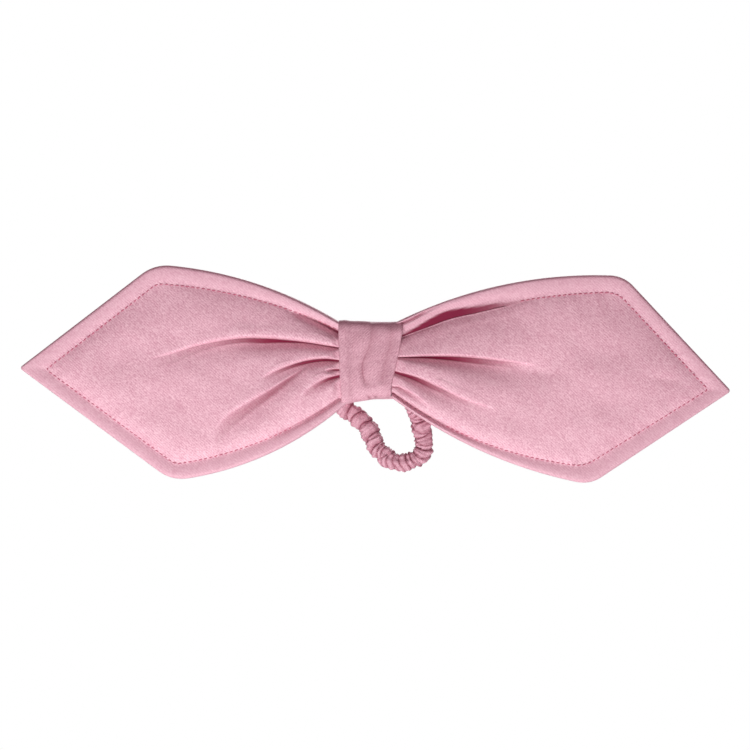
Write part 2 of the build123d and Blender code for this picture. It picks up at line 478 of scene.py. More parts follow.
@dataclass(frozen=True)
class Satin:
    """Matt-backed satin with a fine diagonal twill in its surface."""

    name: str = "pink_satin"
    colour: Colour = (0.975, 0.655, 0.735)
    shade: Colour = (0.715, 0.355, 0.455)
    hem_colour: Colour = (0.800, 0.492, 0.576)
    # Painted shade: a dark deep pink that stands for the shade inside creases.
    fold_colour: Colour = (0.235, 0.012, 0.050)
    twill_pitch: float = 0.85
    twill_lean: float = -48.0
    twill_depth: float = 0.12
    slub_size: float = 5.0
    roughness: float = 0.56
    sheen: float = 0.12
    sheen_tint: Colour = (1.0, 0.82, 0.88)
    ridge_share: float = 0.17
    wander_share: float = 0.9
    weave_level: float = 0.90
    weave_contrast: float = 2.1
    slub_share: float = 0.42
    hem_share: float = 0.45

    def make(self) -> Material:
        """Build the cloth: twill ridges, crossing threads and slubs, with an evener hem and painted shade
        in its creases.

        Returns:
            The material.
        """
        sheet = NodeSheet(self.name)
        place = sheet.attribute("cloth").outputs["Vector"]
        turned = sheet.turned(place, math.radians(self.twill_lean))
        wander = sheet.noise(place, 1.9, 2.0)
        wavering = {"Distortion": 0.9, "Detail": 1.0, "Detail Scale": 1.6}
        ridges = sheet.bands(turned, self.twill_pitch, wavering)
        along_threads = {"Vector": turned, "Scale": (2.2, 0.5, 1.0)}
        stretched = sheet.add("ShaderNodeMapping", along_threads).outputs[0]
        threads = sheet.noise(stretched, 1.3, 3.0)
        slubs = sheet.noise(place, 1.0 / self.slub_size, 4.0)
        weave = sheet.maths("ADD", sheet.maths("MULTIPLY", ridges, self.ridge_share), threads)
        weave = sheet.maths("ADD", weave, sheet.maths("MULTIPLY", wander, self.wander_share))
        tone = sheet.maths("SUBTRACT", weave, self.weave_level)
        tone = sheet.maths("MULTIPLY", tone, self.weave_contrast)
        tone = sheet.maths("ADD", tone, sheet.maths("MULTIPLY", slubs, self.slub_share))
        tone.node.use_clamp = True
        hem = sheet.maths("MULTIPLY", sheet.attribute("hem").outputs["Fac"], self.hem_share)
        edged = sheet.mix(hem, sheet.mix(tone, self.shade, self.colour), self.hem_colour)
        # Painted shade: the fold attribute mixes the dark crease colour in where creases lie in shade.
        colour = sheet.mix(sheet.attribute("fold").outputs["Fac"], edged, self.fold_colour)
        rough = sheet.maths("ADD", sheet.maths("MULTIPLY", threads, 0.14), self.roughness - 0.07)
        bump = sheet.bump(weave, 0.55, self.twill_depth)
        sheet.set_shader(Base_Color=colour, Roughness=rough, Normal=bump, Specular_IOR_Level=0.28)
        sheet.set_shader(Sheen_Weight=self.sheen, Sheen_Roughness=0.4, Sheen_Tint=rgba(self.sheen_tint))
        return sheet.material


@dataclass(frozen=True)
class SewingThread:
    """Twisted polyester thread, deeper in colour than the cloth."""

    name: str = "pink_thread"
    colour: Colour = (0.480, 0.050, 0.130)
    light: Colour = (0.700, 0.190, 0.300)
    ply_pitch: float = 0.35
    ply_lean: float = 0.7

    def make(self) -> Material:
        """Build the thread with the slanted plies of its twist.

        Returns:
            The material.
        """
        sheet = NodeSheet(self.name)
        place = sheet.attribute("cloth").outputs["Vector"]
        plies = sheet.bands(sheet.turned(place, self.ply_lean), self.ply_pitch, {"Distortion": 0.4})
        colour = sheet.mix(plies, self.colour, self.light)
        sheet.set_shader(Base_Color=colour, Normal=sheet.bump(plies, 0.5, 0.05))
        sheet.set_shader(Roughness=0.42, Specular_IOR_Level=0.4)
        return sheet.material


@dataclass(frozen=True)
class Elastic:
    """Braided elastic cord: pale threads crossing over a rubber core."""

    name: str = "braided_elastic"
    colour: Colour = (0.74, 0.70, 0.66)
    shade: Colour = (0.42, 0.38, 0.35)
    braid_pitch: float = 0.9
    braid_lean: float = 0.8

    def make(self) -> Material:
        """Build the braid from two slanted sets of threads.

        Returns:
            The material.
        """
        sheet = NodeSheet(self.name)
        place = sheet.attribute("cloth").outputs["Vector"]
        turned = [sheet.turned(place, lean) for lean in (self.braid_lean, -self.braid_lean)]
        braid = sheet.maths("MULTIPLY", *(sheet.bands(way, self.braid_pitch) for way in turned))
        colour = sheet.mix(braid, self.shade, self.colour)
        sheet.set_shader(Base_Color=colour, Normal=sheet.bump(braid, 0.7, 0.2), Roughness=0.6)
        return sheet.material


@dataclass(frozen=True)
class Interlining:
    """Bonded white stiffening: short fibres pressed into a sheet."""

    name: str = "bonded_interlining"
    colour: Colour = (0.83, 0.80, 0.80)
    shade: Colour = (0.62, 0.58, 0.59)

    def make(self) -> Material:
        """Build the fibre mat.

        Returns:
            The material.
        """
        sheet = NodeSheet(self.name)
        place = sheet.add("ShaderNodeTexCoord").outputs["Object"]
        fibres = sheet.noise(place, 900.0, 5.0, Distortion=2.5)
        colour = sheet.mix(fibres, self.shade, self.colour)
        sheet.set_shader(Base_Color=colour, Normal=sheet.bump(fibres, 0.6, 0.1), Roughness=0.9)
        return sheet.material


@dataclass(frozen=True)
class Finishes:
    """The bow's finishes, made once."""

    satin: Material
    # Painted shade: a darker copy of the satin for the knot band and the loop's casing.
    bias_satin: Material
    thread: Material
    elastic: Material
    interlining: Material

    @classmethod
    def make(cls) -> "Finishes":
        """Make every finish.

        Returns:
            The finishes.
        """
        # Painted shade: the knot band and the loop's casing wear a darker copy of the satin, whose twill
        # leans the other way.
        painted_shade_bias = Satin(
            name="pink_satin_on_the_bias",
            colour=(0.850, 0.535, 0.615),
            shade=(0.575, 0.270, 0.350),
            hem_colour=(0.800, 0.470, 0.550),
            twill_lean=46.0,
        )
        finishes = (Satin(), painted_shade_bias, SewingThread(), Elastic(), Interlining())
        return cls(*(finish.make() for finish in finishes))


# ---------------------------------------------------------------- wings


@dataclass(frozen=True)
class Fold:
    """A crease in a wing: one crisp side that rolls over it and one soft side that rises from it.

    Each point of the route is (distance out from the knot's middle, height, depth). Where the crease
    gapes, each point of the slit is (distance out, width, darkness of the painted shade laid in it).
    """

    route: tuple[tuple[float, float, float], ...]
    crisp: float = 0.55
    soft: float = 4.5
    soft_far: float = 0.0
    crisp_above: bool = True
    overhang: float = 0.0
    # darkness, the slit's darkness, shade, soft_shade and haze set painted shade: dark colour laid in and
    # beside the crease.
    darkness: float = 0.9
    slit: tuple[tuple[float, float, float], ...] = ()
    shoulder: float = 0.0
    shoulder_width: float = 9.0
    lip: float = 0.06
    shade: float = 0.0
    soft_shade: float = 0.13
    haze: float = 0.45

    def slit_shade(self, out: Points, away: Points, gape: Points) -> Points:
        """Measure the painted shade in the gaping crease and on the cloth beside it.

        Args:
            out: Distances out from the knot's middle.
            away: Distances from the crease, plus on its crisp side.
            gape: How wide the crease gapes.

        Returns:
            The share of painted shade at each point.
        """
        above, below = np.maximum(away, 0.0), np.maximum(-away, 0.0)
        dark = np.clip(smooth_line([(r, d) for r, _, d in self.slit], out), 0.0, 1.0)
        inside = 1.0 - smooth_step(above, 0.05, self.haze)
        inside = inside * (1.0 - smooth_step(below - gape, -self.haze, self.haze))
        # Painted shade beside the crease, on its crisp side and on its soft side.
        crisp_side_painted_shade = self.shade * np.exp(-((above / 7.0) ** 1.4))
        soft_side_painted_shade = self.soft_shade * np.exp(-((below / 5.5) ** 1.4))
        return np.maximum(inside * dark, np.where(away >= 0.0, crisp_side_painted_shade, soft_side_painted_shade) * dark)

    def measure(self, out: Points, up: Points) -> tuple[Points, Points, Points]:
        """Read the fold over the wing.

        Args:
            out: Distances out from the knot's middle.
            up: Heights.

        Returns:
            The depth at each point, how far cloth hangs over the crease, and the share of painted shade
            there.
        """
        course = [(r, z) for r, z, _ in self.route]
        line = smooth_line(course, out)
        depth = np.maximum(smooth_line([(r, d) for r, _, d in self.route], out), 0.0)
        start, end = self.route[0][0], self.route[-1][0]
        depth = depth * smooth_step(out, start - 3.0, start + 0.5)
        depth = depth * (1.0 - smooth_step(out, end - 2.0, end + 4.0))
        step = 0.5
        slope = (smooth_line(course, out + step) - line) / step
        side = 1.0 if self.crisp_above else -1.0
        away = side * (up - line) / np.sqrt(1.0 + slope**2)
        wide = self.soft
        if self.soft_far:
            share = np.clip((out - start) / (end - start), 0.0, 1.0)
            wide = self.soft + (self.soft_far - self.soft) * share
        above, below = np.maximum(away, 0.0), np.maximum(-away, 0.0)
        gape = smooth_line([(r, w) for r, w, _ in self.slit], out) if self.slit else np.zeros(len(out))
        rise = np.exp(-((np.maximum(below - 0.6 * gape, 0.0) / wide) ** 1.5))
        near = np.exp(-((above / self.crisp) ** 1.5))
        far = np.exp(-((above / self.shoulder_width) ** 1.2))
        cut = (near * (1.0 - self.shoulder) + far * self.shoulder) * rise
        lip = self.lip * np.exp(-(((above - 2.6) / 1.7) ** 2)) * (away > 0)
        hang = self.overhang * depth * np.exp(-((above / 2.0) ** 2)) * (away > -0.2)
        # Painted shade: darkest in the crease, fading out beside it.
        if self.slit:
            painted_shade = self.slit_shade(out, away, gape)
        else:
            painted_shade = np.exp(-((above / 0.45) ** 2)) * np.exp(-((below / (0.62 * wide)) ** 2))
            painted_shade = painted_shade * np.clip(depth / 3.4, 0.0, 1.0) ** 1.3 * self.darkness
        return depth * (cut - lip), -side * hang, painted_shade


@dataclass(frozen=True)
class WingLine:
    """A line round a wing, from the knot's top edge round to its bottom edge, open at the knot."""

    tip: tuple[float, float]
    top_corner: tuple[float, float]
    top_crown: tuple[float, float]
    top_neck: tuple[float, float]
    bottom_corner: tuple[float, float]
    bottom_crown: tuple[float, float]
    bottom_neck: tuple[float, float]
    corner_ease: float = 5.0
    tip_ease: float = 1.6

    @staticmethod
    def rounded(into: Points, corner: Points, out_of: Points, ease: float) -> tuple[Points, Points]:
        """Round a corner between two lines.

        Args:
            into: Line that ends at the corner.
            corner: The corner.
            out_of: Line that starts at the corner.
            ease: How far from the corner the rounding starts.

        Returns:
            The two lines, which now meet in the middle of the rounding.
        """
        along_in, along_out = lengths_along(into), lengths_along(out_of)
        start = np.array([np.interp(along_in[-1] - ease, along_in, into[:, k]) for k in (0, 1)])
        end = np.array([np.interp(ease, along_out, out_of[:, k]) for k in (0, 1)])
        t = np.linspace(0.0, 1.0, 17)[:, None]
        bend = (1 - t) ** 2 * start + 2 * t * (1 - t) * corner + t**2 * end
        first = np.vstack([into[along_in < along_in[-1] - ease], bend[:9]])
        second = np.vstack([bend[8:], out_of[along_out > ease]])
        return first, second

    def sides(self) -> tuple[Points, Points, Points, Points]:
        """The line's four stretches.

        Returns:
            Bottom (outwards), lower outer (to the tip), upper outer (to the top corner), top (inwards).
        """
        fine = 200
        bottom = arc_through(self.bottom_neck, self.bottom_crown, self.bottom_corner, fine)
        lower = resample(np.array([self.bottom_corner, self.tip]), fine)
        upper = resample(np.array([self.tip, self.top_corner]), fine)
        top = arc_through(self.top_corner, self.top_crown, self.top_neck, fine)
        bottom, lower = self.rounded(bottom, np.array(self.bottom_corner), lower, self.corner_ease)
        lower, upper = self.rounded(lower, np.array(self.tip), upper, self.tip_ease)
        upper, top = self.rounded(upper, np.array(self.top_corner), top, self.corner_ease)
        return bottom, lower, upper, top


@dataclass
class Wing:
    """One wing of the bow: a flat bag of two satin panels, gathered into the knot."""

    side: Side
    outline: WingLine
    stitch_line: WingLine
    front_folds: tuple[Fold, ...]
    back_folds: tuple[Fold, ...]
    finishes: Finishes
    seed: int = 1
    columns: int = 300
    lower_rows: int = 96
    upper_rows: int = 104
    border_rows: int = 14
    allowance_rows: int = 4
    allowance: float = 6.0
    hem_crown: float = 1.85
    edge_roll: float = 1.5
    flat_height: float = 4.0
    neck_height: float = 6.6
    back_neck_height: float = 4.2
    band_room: float = 4.0
    loop_room: float = 2.0
    puff_reach: float = 4.8
    stitch_pitch: float = 2.1
    stitch_length: float = 1.55
    stitch_slant: float = 0.12
    thread_radius: float = 0.17
    thread_rings: int = 7
    thread_around: int = 6
    # Share of painted crease shade above which a stitch is left out.
    sunk_in_fold: float = 0.3
    seam_border: float = 6.6
    turned_in: float = 0.10
    hem_gather_rise: float = 1.7
    hem_slope: float = 0.30
    hem_groove: float = 0.16
    allowance_height: float = 0.35
    interlining_room: float = 0.8
    limit_sharpness: float = 3.0
    front_gathers: float = 0.14
    back_gathers: float = 0.38
    broad_puffs: float = 0.34
    fine_puffs: float = 0.07
    gather_allowance: float = 1.08
    bend_start: float = 12.6
    bend_length: float = 12.0
    mid_y: float = field(init=False)
    hinge_x: float = field(init=False)

    def __post_init__(self) -> None:
        """Take the wing's middle plane and hinge from the frame."""
        low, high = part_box(f"{self.side.word}_interlining")
        self.mid_y = (low.y + high.y) / 2 / MM
        joint = next(j for j in frame["joints"] if j["child"] == f"{self.side.word}_wing")
        self.hinge_x = joint["pos_m"][0] / MM

    # ---- heights

    def body_height(self, out: Points, face: Face) -> Points:
        """How far a panel stands from the wing's middle plane, away from folds and stitching.

        Args:
            out: Distance out from the knot's middle.
            face: Which panel it is.

        Returns:
            The height at each point.
        """
        gathered = 1.0 - smooth_step(out, 10.0, 70.0)
        neck = self.neck_height if face is Face.FRONT else self.back_neck_height
        return self.flat_height + (neck - self.flat_height) * gathered

    def hem_height(self, out: Points, inward: Points, border: Points) -> Points:
        """Height of the doubled hem.

        Args:
            out: Distance out from the knot's middle.
            inward: Distance in from the wing's edge.
            border: Distance from the edge to the stitch line there.

        Returns:
            The panel's distance from the wing's middle plane.
        """
        gathered = 1.0 - smooth_step(out, 12.0, 60.0)
        crown = self.hem_crown + self.hem_gather_rise * gathered
        roll = np.clip(inward / self.edge_roll, 0.0, 1.0)
        rise = np.sqrt(np.maximum(1.0 - (1.0 - roll) ** 2, 0.0))
        groove = np.exp(-(((border - inward) / 1.5) ** 2))
        slope = self.hem_slope * (1.0 - 0.75 * gathered) * smooth_step(inward / border, 0.35, 1.0)
        return crown * rise * (1.0 - slope - self.hem_groove * groove)

    def puckers(self, out: Points, up: Points, along: Points, away: Points) -> Points:
        """Small pulls that the stitches make in the cloth beside them.

        Args:
            out: Distance out from the knot's middle; not used.
            up: Height; not used.
            along: Distance along the stitch line.
            away: Distance from the stitch line.

        Returns:
            Heights to add.
        """
        pulls = 0.10 * np.cos(FULL_TURN * along / self.stitch_pitch) * np.exp(-away / 0.9)
        draw = np.random.default_rng(self.seed + 40)
        waves = np.zeros(len(along))
        for size in (5.3, 8.9, 13.7):
            waves += np.sin(FULL_TURN * along / size + draw.uniform(0.0, 6.0) + 0.25 * away)
        return pulls + 0.075 * waves * np.exp(-away / 4.0)

    # ---- panels

    def stitch_loop(self, line: WingLine) -> Points:
        """Spread points round the wing, one for each column and row of the panel.

        Args:
            line: The line round the wing.

        Returns:
            Its points, from the lower neck round to the upper neck.
        """
        bottom, lower, upper, top = line.sides()
        parts = [
            resample(bottom, self.columns)[:-1],
            resample(lower, self.lower_rows)[:-1],
            resample(upper, self.upper_rows)[:-1],
            resample(top, self.columns),
        ]
        return np.vstack(parts)

    def interior(self, loop: Points) -> Points:
        """Fill the stitch line with a grid.

        Args:
            loop: The stitch line's points, from the lower neck round to the upper neck.

        Returns:
            Grid points, indexed by column (outwards) and row (upwards).
        """
        n, rows = self.columns, self.lower_rows + self.upper_rows
        bottom, outer, top = loop[: n + 1], loop[n : n + rows + 1], loop[n + rows :][::-1]
        u = np.linspace(0.0, 1.0, n + 1)[:, None, None]
        v = np.linspace(0.0, 1.0, rows + 1)[None, :, None]
        neck = bottom[0] + (top[0] - bottom[0]) * v[0]
        between_edges = (1 - v) * bottom[:, None] + v * top[:, None]
        between_ends = (1 - u) * neck[None] + u * outer[None]
        corners = (1 - u) * ((1 - v) * bottom[0] + v * top[0]) + u * ((1 - v) * bottom[-1] + v * top[-1])
        return between_edges + between_ends - corners

    def creases(self, flat: Points, folds: tuple[Fold, ...]) -> tuple[Points, Points, Points]:
        """Add up the wing's folds.

        Args:
            flat: Points (out, up).
            folds: Creases in the panel.

        Returns:
            Depth, the shift along Z of cloth that hangs over a crease, and the share of painted shade at
            each point.
        """
        total = np.zeros(len(flat))
        shift = np.zeros(len(flat))
        painted_shade = np.zeros(len(flat))
        for fold in folds:
            depth, hang, inside = fold.measure(flat[:, 0], flat[:, 1])
            total += np.sign(depth) * np.abs(depth) ** 2.5
            shift += hang
            painted_shade = np.maximum(painted_shade, inside)
        return np.sign(total) * np.abs(total) ** 0.4, shift, painted_shade

    def cap(self, out: Points, face: Face) -> Points:
        """The room above the middle plane: small under the band, and at the back beside the loop too."""
        if face is Face.BACK:
            return self.loop_room + 6.0 * smooth_step(out, 25.0, 42.0)
        return self.band_room + 6.0 * smooth_step(out, 12.3, 19.0)

    def limit(self, height: Points, out: Points, face: Face) -> Points:
        """Keep a height above the interlining and below the panel's room, with soft limits.

        Args:
            height: Height wanted at each point.
            out: Distance out from the knot's middle.
            face: Which panel it is.

        Returns:
            The height within its limits.
        """
        floor, room, sharp = self.interlining_room, self.cap(out, face), self.limit_sharpness
        height = floor + np.logaddexp(0.0, (height - floor) * sharp) / sharp
        return room - np.logaddexp(0.0, (room - height) * sharp) / sharp

    def small_gathers(self, out: Points, up: Points, face: Face) -> Points:
        """Low ridges that fan out from the knot between the main folds.

        Args:
            out: Distance out from the knot's middle.
            up: Height.
            face: Which panel they are in.

        Returns:
            Heights to add.
        """
        draw = np.random.default_rng(self.seed + 60 + face.value)
        fan = (up + 0.8) / (14.0 + 0.5 * (out - 12.0))
        total = np.zeros(len(out))
        for count, reach in ((7.0, 13.0), (11.0, 9.0), (17.0, 6.0)):
            phase = draw.uniform(0.0, FULL_TURN)
            wander = 0.5 * np.sin(out / 9.0 + draw.uniform(0.0, 6.0))
            total += np.sin(count * fan + phase + wander) * np.exp(-np.maximum(out - 12.0, 0.0) / reach)
        return (self.front_gathers if face is Face.FRONT else self.back_gathers) * total

    def interior_height(self, flat: Points, face: Face) -> tuple[Points, Points]:
        """Heights of the panel inside its stitching, before its folds.

        Args:
            flat: Points (out, up).
            face: Which panel it is.

        Returns:
            The height at each point, and its share of hem.
        """
        out, up = flat[:, 0], flat[:, 1]
        bottom, lower, upper, top = (resample(s, 24) for s in self.stitch_line.sides())
        rise = np.ones(len(flat))
        for stretch, reach in ((bottom, 0.8), (lower, 0.8), (upper, 1.35), (top, 1.35)):
            distance, _ = nearest_on(flat, stretch)
            rise = rise * (1.0 - np.exp(-((distance / (self.puff_reach * reach)) ** 0.9)))
        whole = np.vstack([bottom, lower, upper, top])
        away, along = nearest_on(flat, whole)
        border = np.full(len(flat), self.seam_border)
        groove = self.hem_height(out, border, border)
        body = self.body_height(out, face)
        body = body + self.broad_puffs * ripple(out, up * 1.4, 34.0, self.seed + 3 * face.value)
        body = body + self.fine_puffs * ripple(out, up, 9.0, self.seed + 11)
        body = body + self.small_gathers(out, up, face)
        height = groove + (body - groove) * rise + self.puckers(out, up, along, away)
        return height, self.turned_in * (1.0 - smooth_step(away, 0.0, 5.0))

    def panel(
        self, face: Face, folds: tuple[Fold, ...]
    ) -> tuple[Points, list[tuple], Points, Points, Points]:
        """Shape one panel.

        Args:
            face: Front or back.
            folds: Its creases.

        Returns:
            Points in the frame, faces, places on the flat cloth, the share of hem, and the share of
            painted crease shade.
        """
        loop, edge = self.stitch_loop(self.stitch_line), self.stitch_loop(self.outline)
        grid = self.interior(loop)
        columns, rows = grid.shape[:2]
        flat = grid.reshape(-1, 2)
        height, hem = self.interior_height(flat, face)
        inner_count = len(flat)
        quads = grid_quads(columns, rows)
        seam = self.seam_numbers()
        border = np.linalg.norm(edge - loop, axis=1)
        along = lengths_along(loop)
        height[seam] = self.hem_height(loop[:, 0], border, border)
        height[seam] += self.puckers(loop[:, 0], loop[:, 1], along, np.zeros(len(loop)))
        strips, heights, hems, reaches = [flat], [height], [hem], [np.ones(inner_count)]
        for k in range(1, self.border_rows + 1):
            share = 1.0 - (1.0 - k / self.border_rows) ** 1.5
            place = loop + (edge - loop) * share
            inward = border * (1.0 - share)
            level = self.hem_height(place[:, 0], inward, border)
            pulls = self.puckers(place[:, 0], place[:, 1], along, border - inward)
            level = level + pulls * (inward / border)
            strips.append(place)
            heights.append(level)
            hems.append(np.full(len(place), smooth_step(share, 0.0, 0.35)))
            reaches.append(smooth_step(inward, 0.3, 1.7))
        for k in range(1, self.allowance_rows + 1):
            share = self.allowance * k / self.allowance_rows / border
            strips.append(edge + (loop - edge) * np.minimum(share, 0.9)[:, None])
            heights.append(np.full(len(edge), self.allowance_height))
            hems.append(np.ones(len(edge)))
            reaches.append(np.zeros(len(edge)))
        ring = len(loop)
        index = np.arange(inner_count, inner_count + ring * (len(strips) - 1)).reshape(-1, ring)
        index = np.vstack([seam[None], index])
        quads += list(map(tuple, index.ravel()[np.array(grid_quads(len(index), ring))].tolist()))
        flat, height = np.vstack(strips), np.concatenate(heights)
        hem, reach = np.concatenate(hems), np.concatenate(reaches)
        depth, lean, painted_shade = self.creases(flat, folds)
        folded = self.limit(height - depth, flat[:, 0], face)
        height = height + (folded - height) * reach
        points = np.column_stack(
            [self.side.value * flat[:, 0], self.mid_y + face.value * height, flat[:, 1] + lean * reach]
        )
        cloth = np.column_stack([self.side.value * flat[:, 0], flat[:, 1], height])
        if self.side.value * face.value > 0:
            quads = [quad[::-1] for quad in quads]
        return points, quads, cloth, hem, painted_shade * reach

    def seam_numbers(self) -> Points:
        """Number the panel's points that lie on its stitch line.

        Returns:
            The numbers, in order round the wing.
        """
        columns, rows = self.columns + 1, self.lower_rows + self.upper_rows + 1
        number = np.arange(columns * rows).reshape(columns, rows)
        return np.concatenate([number[:, 0], number[-1, 1:], number[::-1, -1][1:]])

    def make_panel(self, face: Face) -> Piece:
        """Make one panel and dress it.

        Args:
            face: Front or back.

        Returns:
            The panel.
        """
        folds = self.front_folds if face is Face.FRONT else self.back_folds
        points, quads, cloth, hem, fold = self.panel(face, folds)
        name = f"{self.side.word}_wing_{face.word}"
        piece = make_mesh(name, points, quads, self.finishes.satin, cloth, hem, fold)
        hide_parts(f"{self.side.word}_{face.word}_panel")
        return piece

    def stitch(self, line: Points, slant: float, face: Face) -> Points:
        """Shape one stitch, with both ends dipping into the cloth.

        Args:
            line: Its course on the panel, one row for each ring.
            slant: How far it leans across the row of stitches.
            face: Which panel it is on.

        Returns:
            Its points, ring by ring.
        """
        t = np.linspace(-1.0, 1.0, self.thread_rings)
        turn = np.linspace(0.0, FULL_TURN, self.thread_around, endpoint=False)
        thick = self.thread_radius * np.sqrt(np.maximum(1.0 - (t * 0.98) ** 4, 0.02))
        ahead = line[-1] - line[0]
        ahead /= np.linalg.norm(ahead)
        side = np.array([-ahead[2], 0.0, ahead[0]])
        line = line + side * (slant * t)[:, None]
        line[:, 1] += face.value * (0.20 - 0.24 * t**2)
        ring = side[None, None] * np.cos(turn)[None, :, None] * thick[:, None, None]
        ring = ring + np.array([0.0, 1.0, 0.0]) * np.sin(turn)[None, :, None] * thick[:, None, None]
        return (line[:, None] + ring).reshape(-1, 3)

    def make_topstitching(self, face: Face, panel: Piece) -> Piece:
        """Sew the row of stitches along the hem, leaving a stitch out where the painted crease shade is
        deep, as a fold hides it there.

        Args:
            face: Front or back.
            panel: The panel that they lie on.

        Returns:
            The stitches, as one piece.
        """
        seam = self.seam_numbers()
        along = lengths_along(self.stitch_loop(self.stitch_line))
        co, painted_crease_shade = np.zeros(len(panel.data.vertices) * 3), np.zeros(len(panel.data.vertices))
        panel.data.vertices.foreach_get("co", co)
        panel.data.attributes["fold"].data.foreach_get("value", painted_crease_shade)
        surface = co.reshape(-1, 3)[seam] / MM
        draw = np.random.default_rng(self.seed + 90)
        rings, around = self.thread_rings, self.thread_around
        one = grid_quads(rings, around, wrap=True)
        one += [tuple(range(around)), tuple((rings - 1) * around + i for i in reversed(range(around)))]
        points, quads, cloth = [], [], []
        for k in range(int(along[-1] / self.stitch_pitch)):
            middle = (k + 0.5) * self.stitch_pitch
            # Leave out stitches where the painted crease shade is deep.
            if np.interp(middle, along, painted_crease_shade[seam]) > self.sunk_in_fold:
                continue
            half = self.stitch_length / 2 * draw.uniform(0.9, 1.06)
            slant = (draw.uniform(-0.05, 0.05) + self.stitch_slant) * half
            places = middle + half * np.linspace(-1.0, 1.0, rings)
            line = np.column_stack([np.interp(places, along, surface[:, a]) for a in range(3)])
            base = len(points) * rings * around
            points.append(self.stitch(line, slant, face))
            quads += [tuple(base + i for i in quad) for quad in one]
            cloth.append(tube_cloth(places, around, FULL_TURN / 6.0))
        name = f"{self.side.word}_topstitching_{face.word}"
        piece = make_mesh(name, np.vstack(points), quads, self.finishes.thread, np.vstack(cloth))
        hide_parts(f"{self.side.word}_topstitch_{face.word}")
        return piece

    def bend(self, piece: Piece) -> None:
        """Bake a piece's placement into its points.

        Args:
            piece: One of the wing's pieces.
        """
        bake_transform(piece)

    def dress_hidden_layers(self) -> None:
        """Give the layers inside the bag their own finishes."""
        finish_node(f"{self.side.word}_interlining", self.finishes.interlining)
        finish_node(f"{self.side.word}_edge_seam", self.finishes.thread)

    def build(self) -> list[Piece]:
        """Make the wing's panels and stitching.

        Returns:
            The pieces.
        """
        pieces = []
        for face in Face:
            panel = self.make_panel(face)
            stitches = self.make_topstitching(face, panel)
            low, high = self.reach()
            self.flat_area() * MM * MM
            pieces += [panel, stitches]
        for piece in pieces:
            self.bend(piece)
        self.dress_hidden_layers()
        return pieces

    def reach(self) -> tuple[float, float]:
        """Measure the cut panel.

        Returns:
            Its length and width, with its seam allowance.
        """
        edge = self.stitch_loop(self.outline)
        size = edge.max(axis=0) - edge.min(axis=0) + 2.0 * self.allowance
        return float(size[0]), float(size[1])

    def flat_area(self) -> float:
        """Measure the cut panel's area.

        Returns:
            The outline's area, with its allowance and what the gathers take up.
        """
        edge = self.stitch_loop(self.outline)
        x, z = edge[:, 0], edge[:, 1]
        area = abs(np.dot(x, np.roll(z, -1)) - np.dot(z, np.roll(x, -1))) / 2
        return float(area + lengths_along(edge)[-1] * self.allowance) * self.gather_allowance


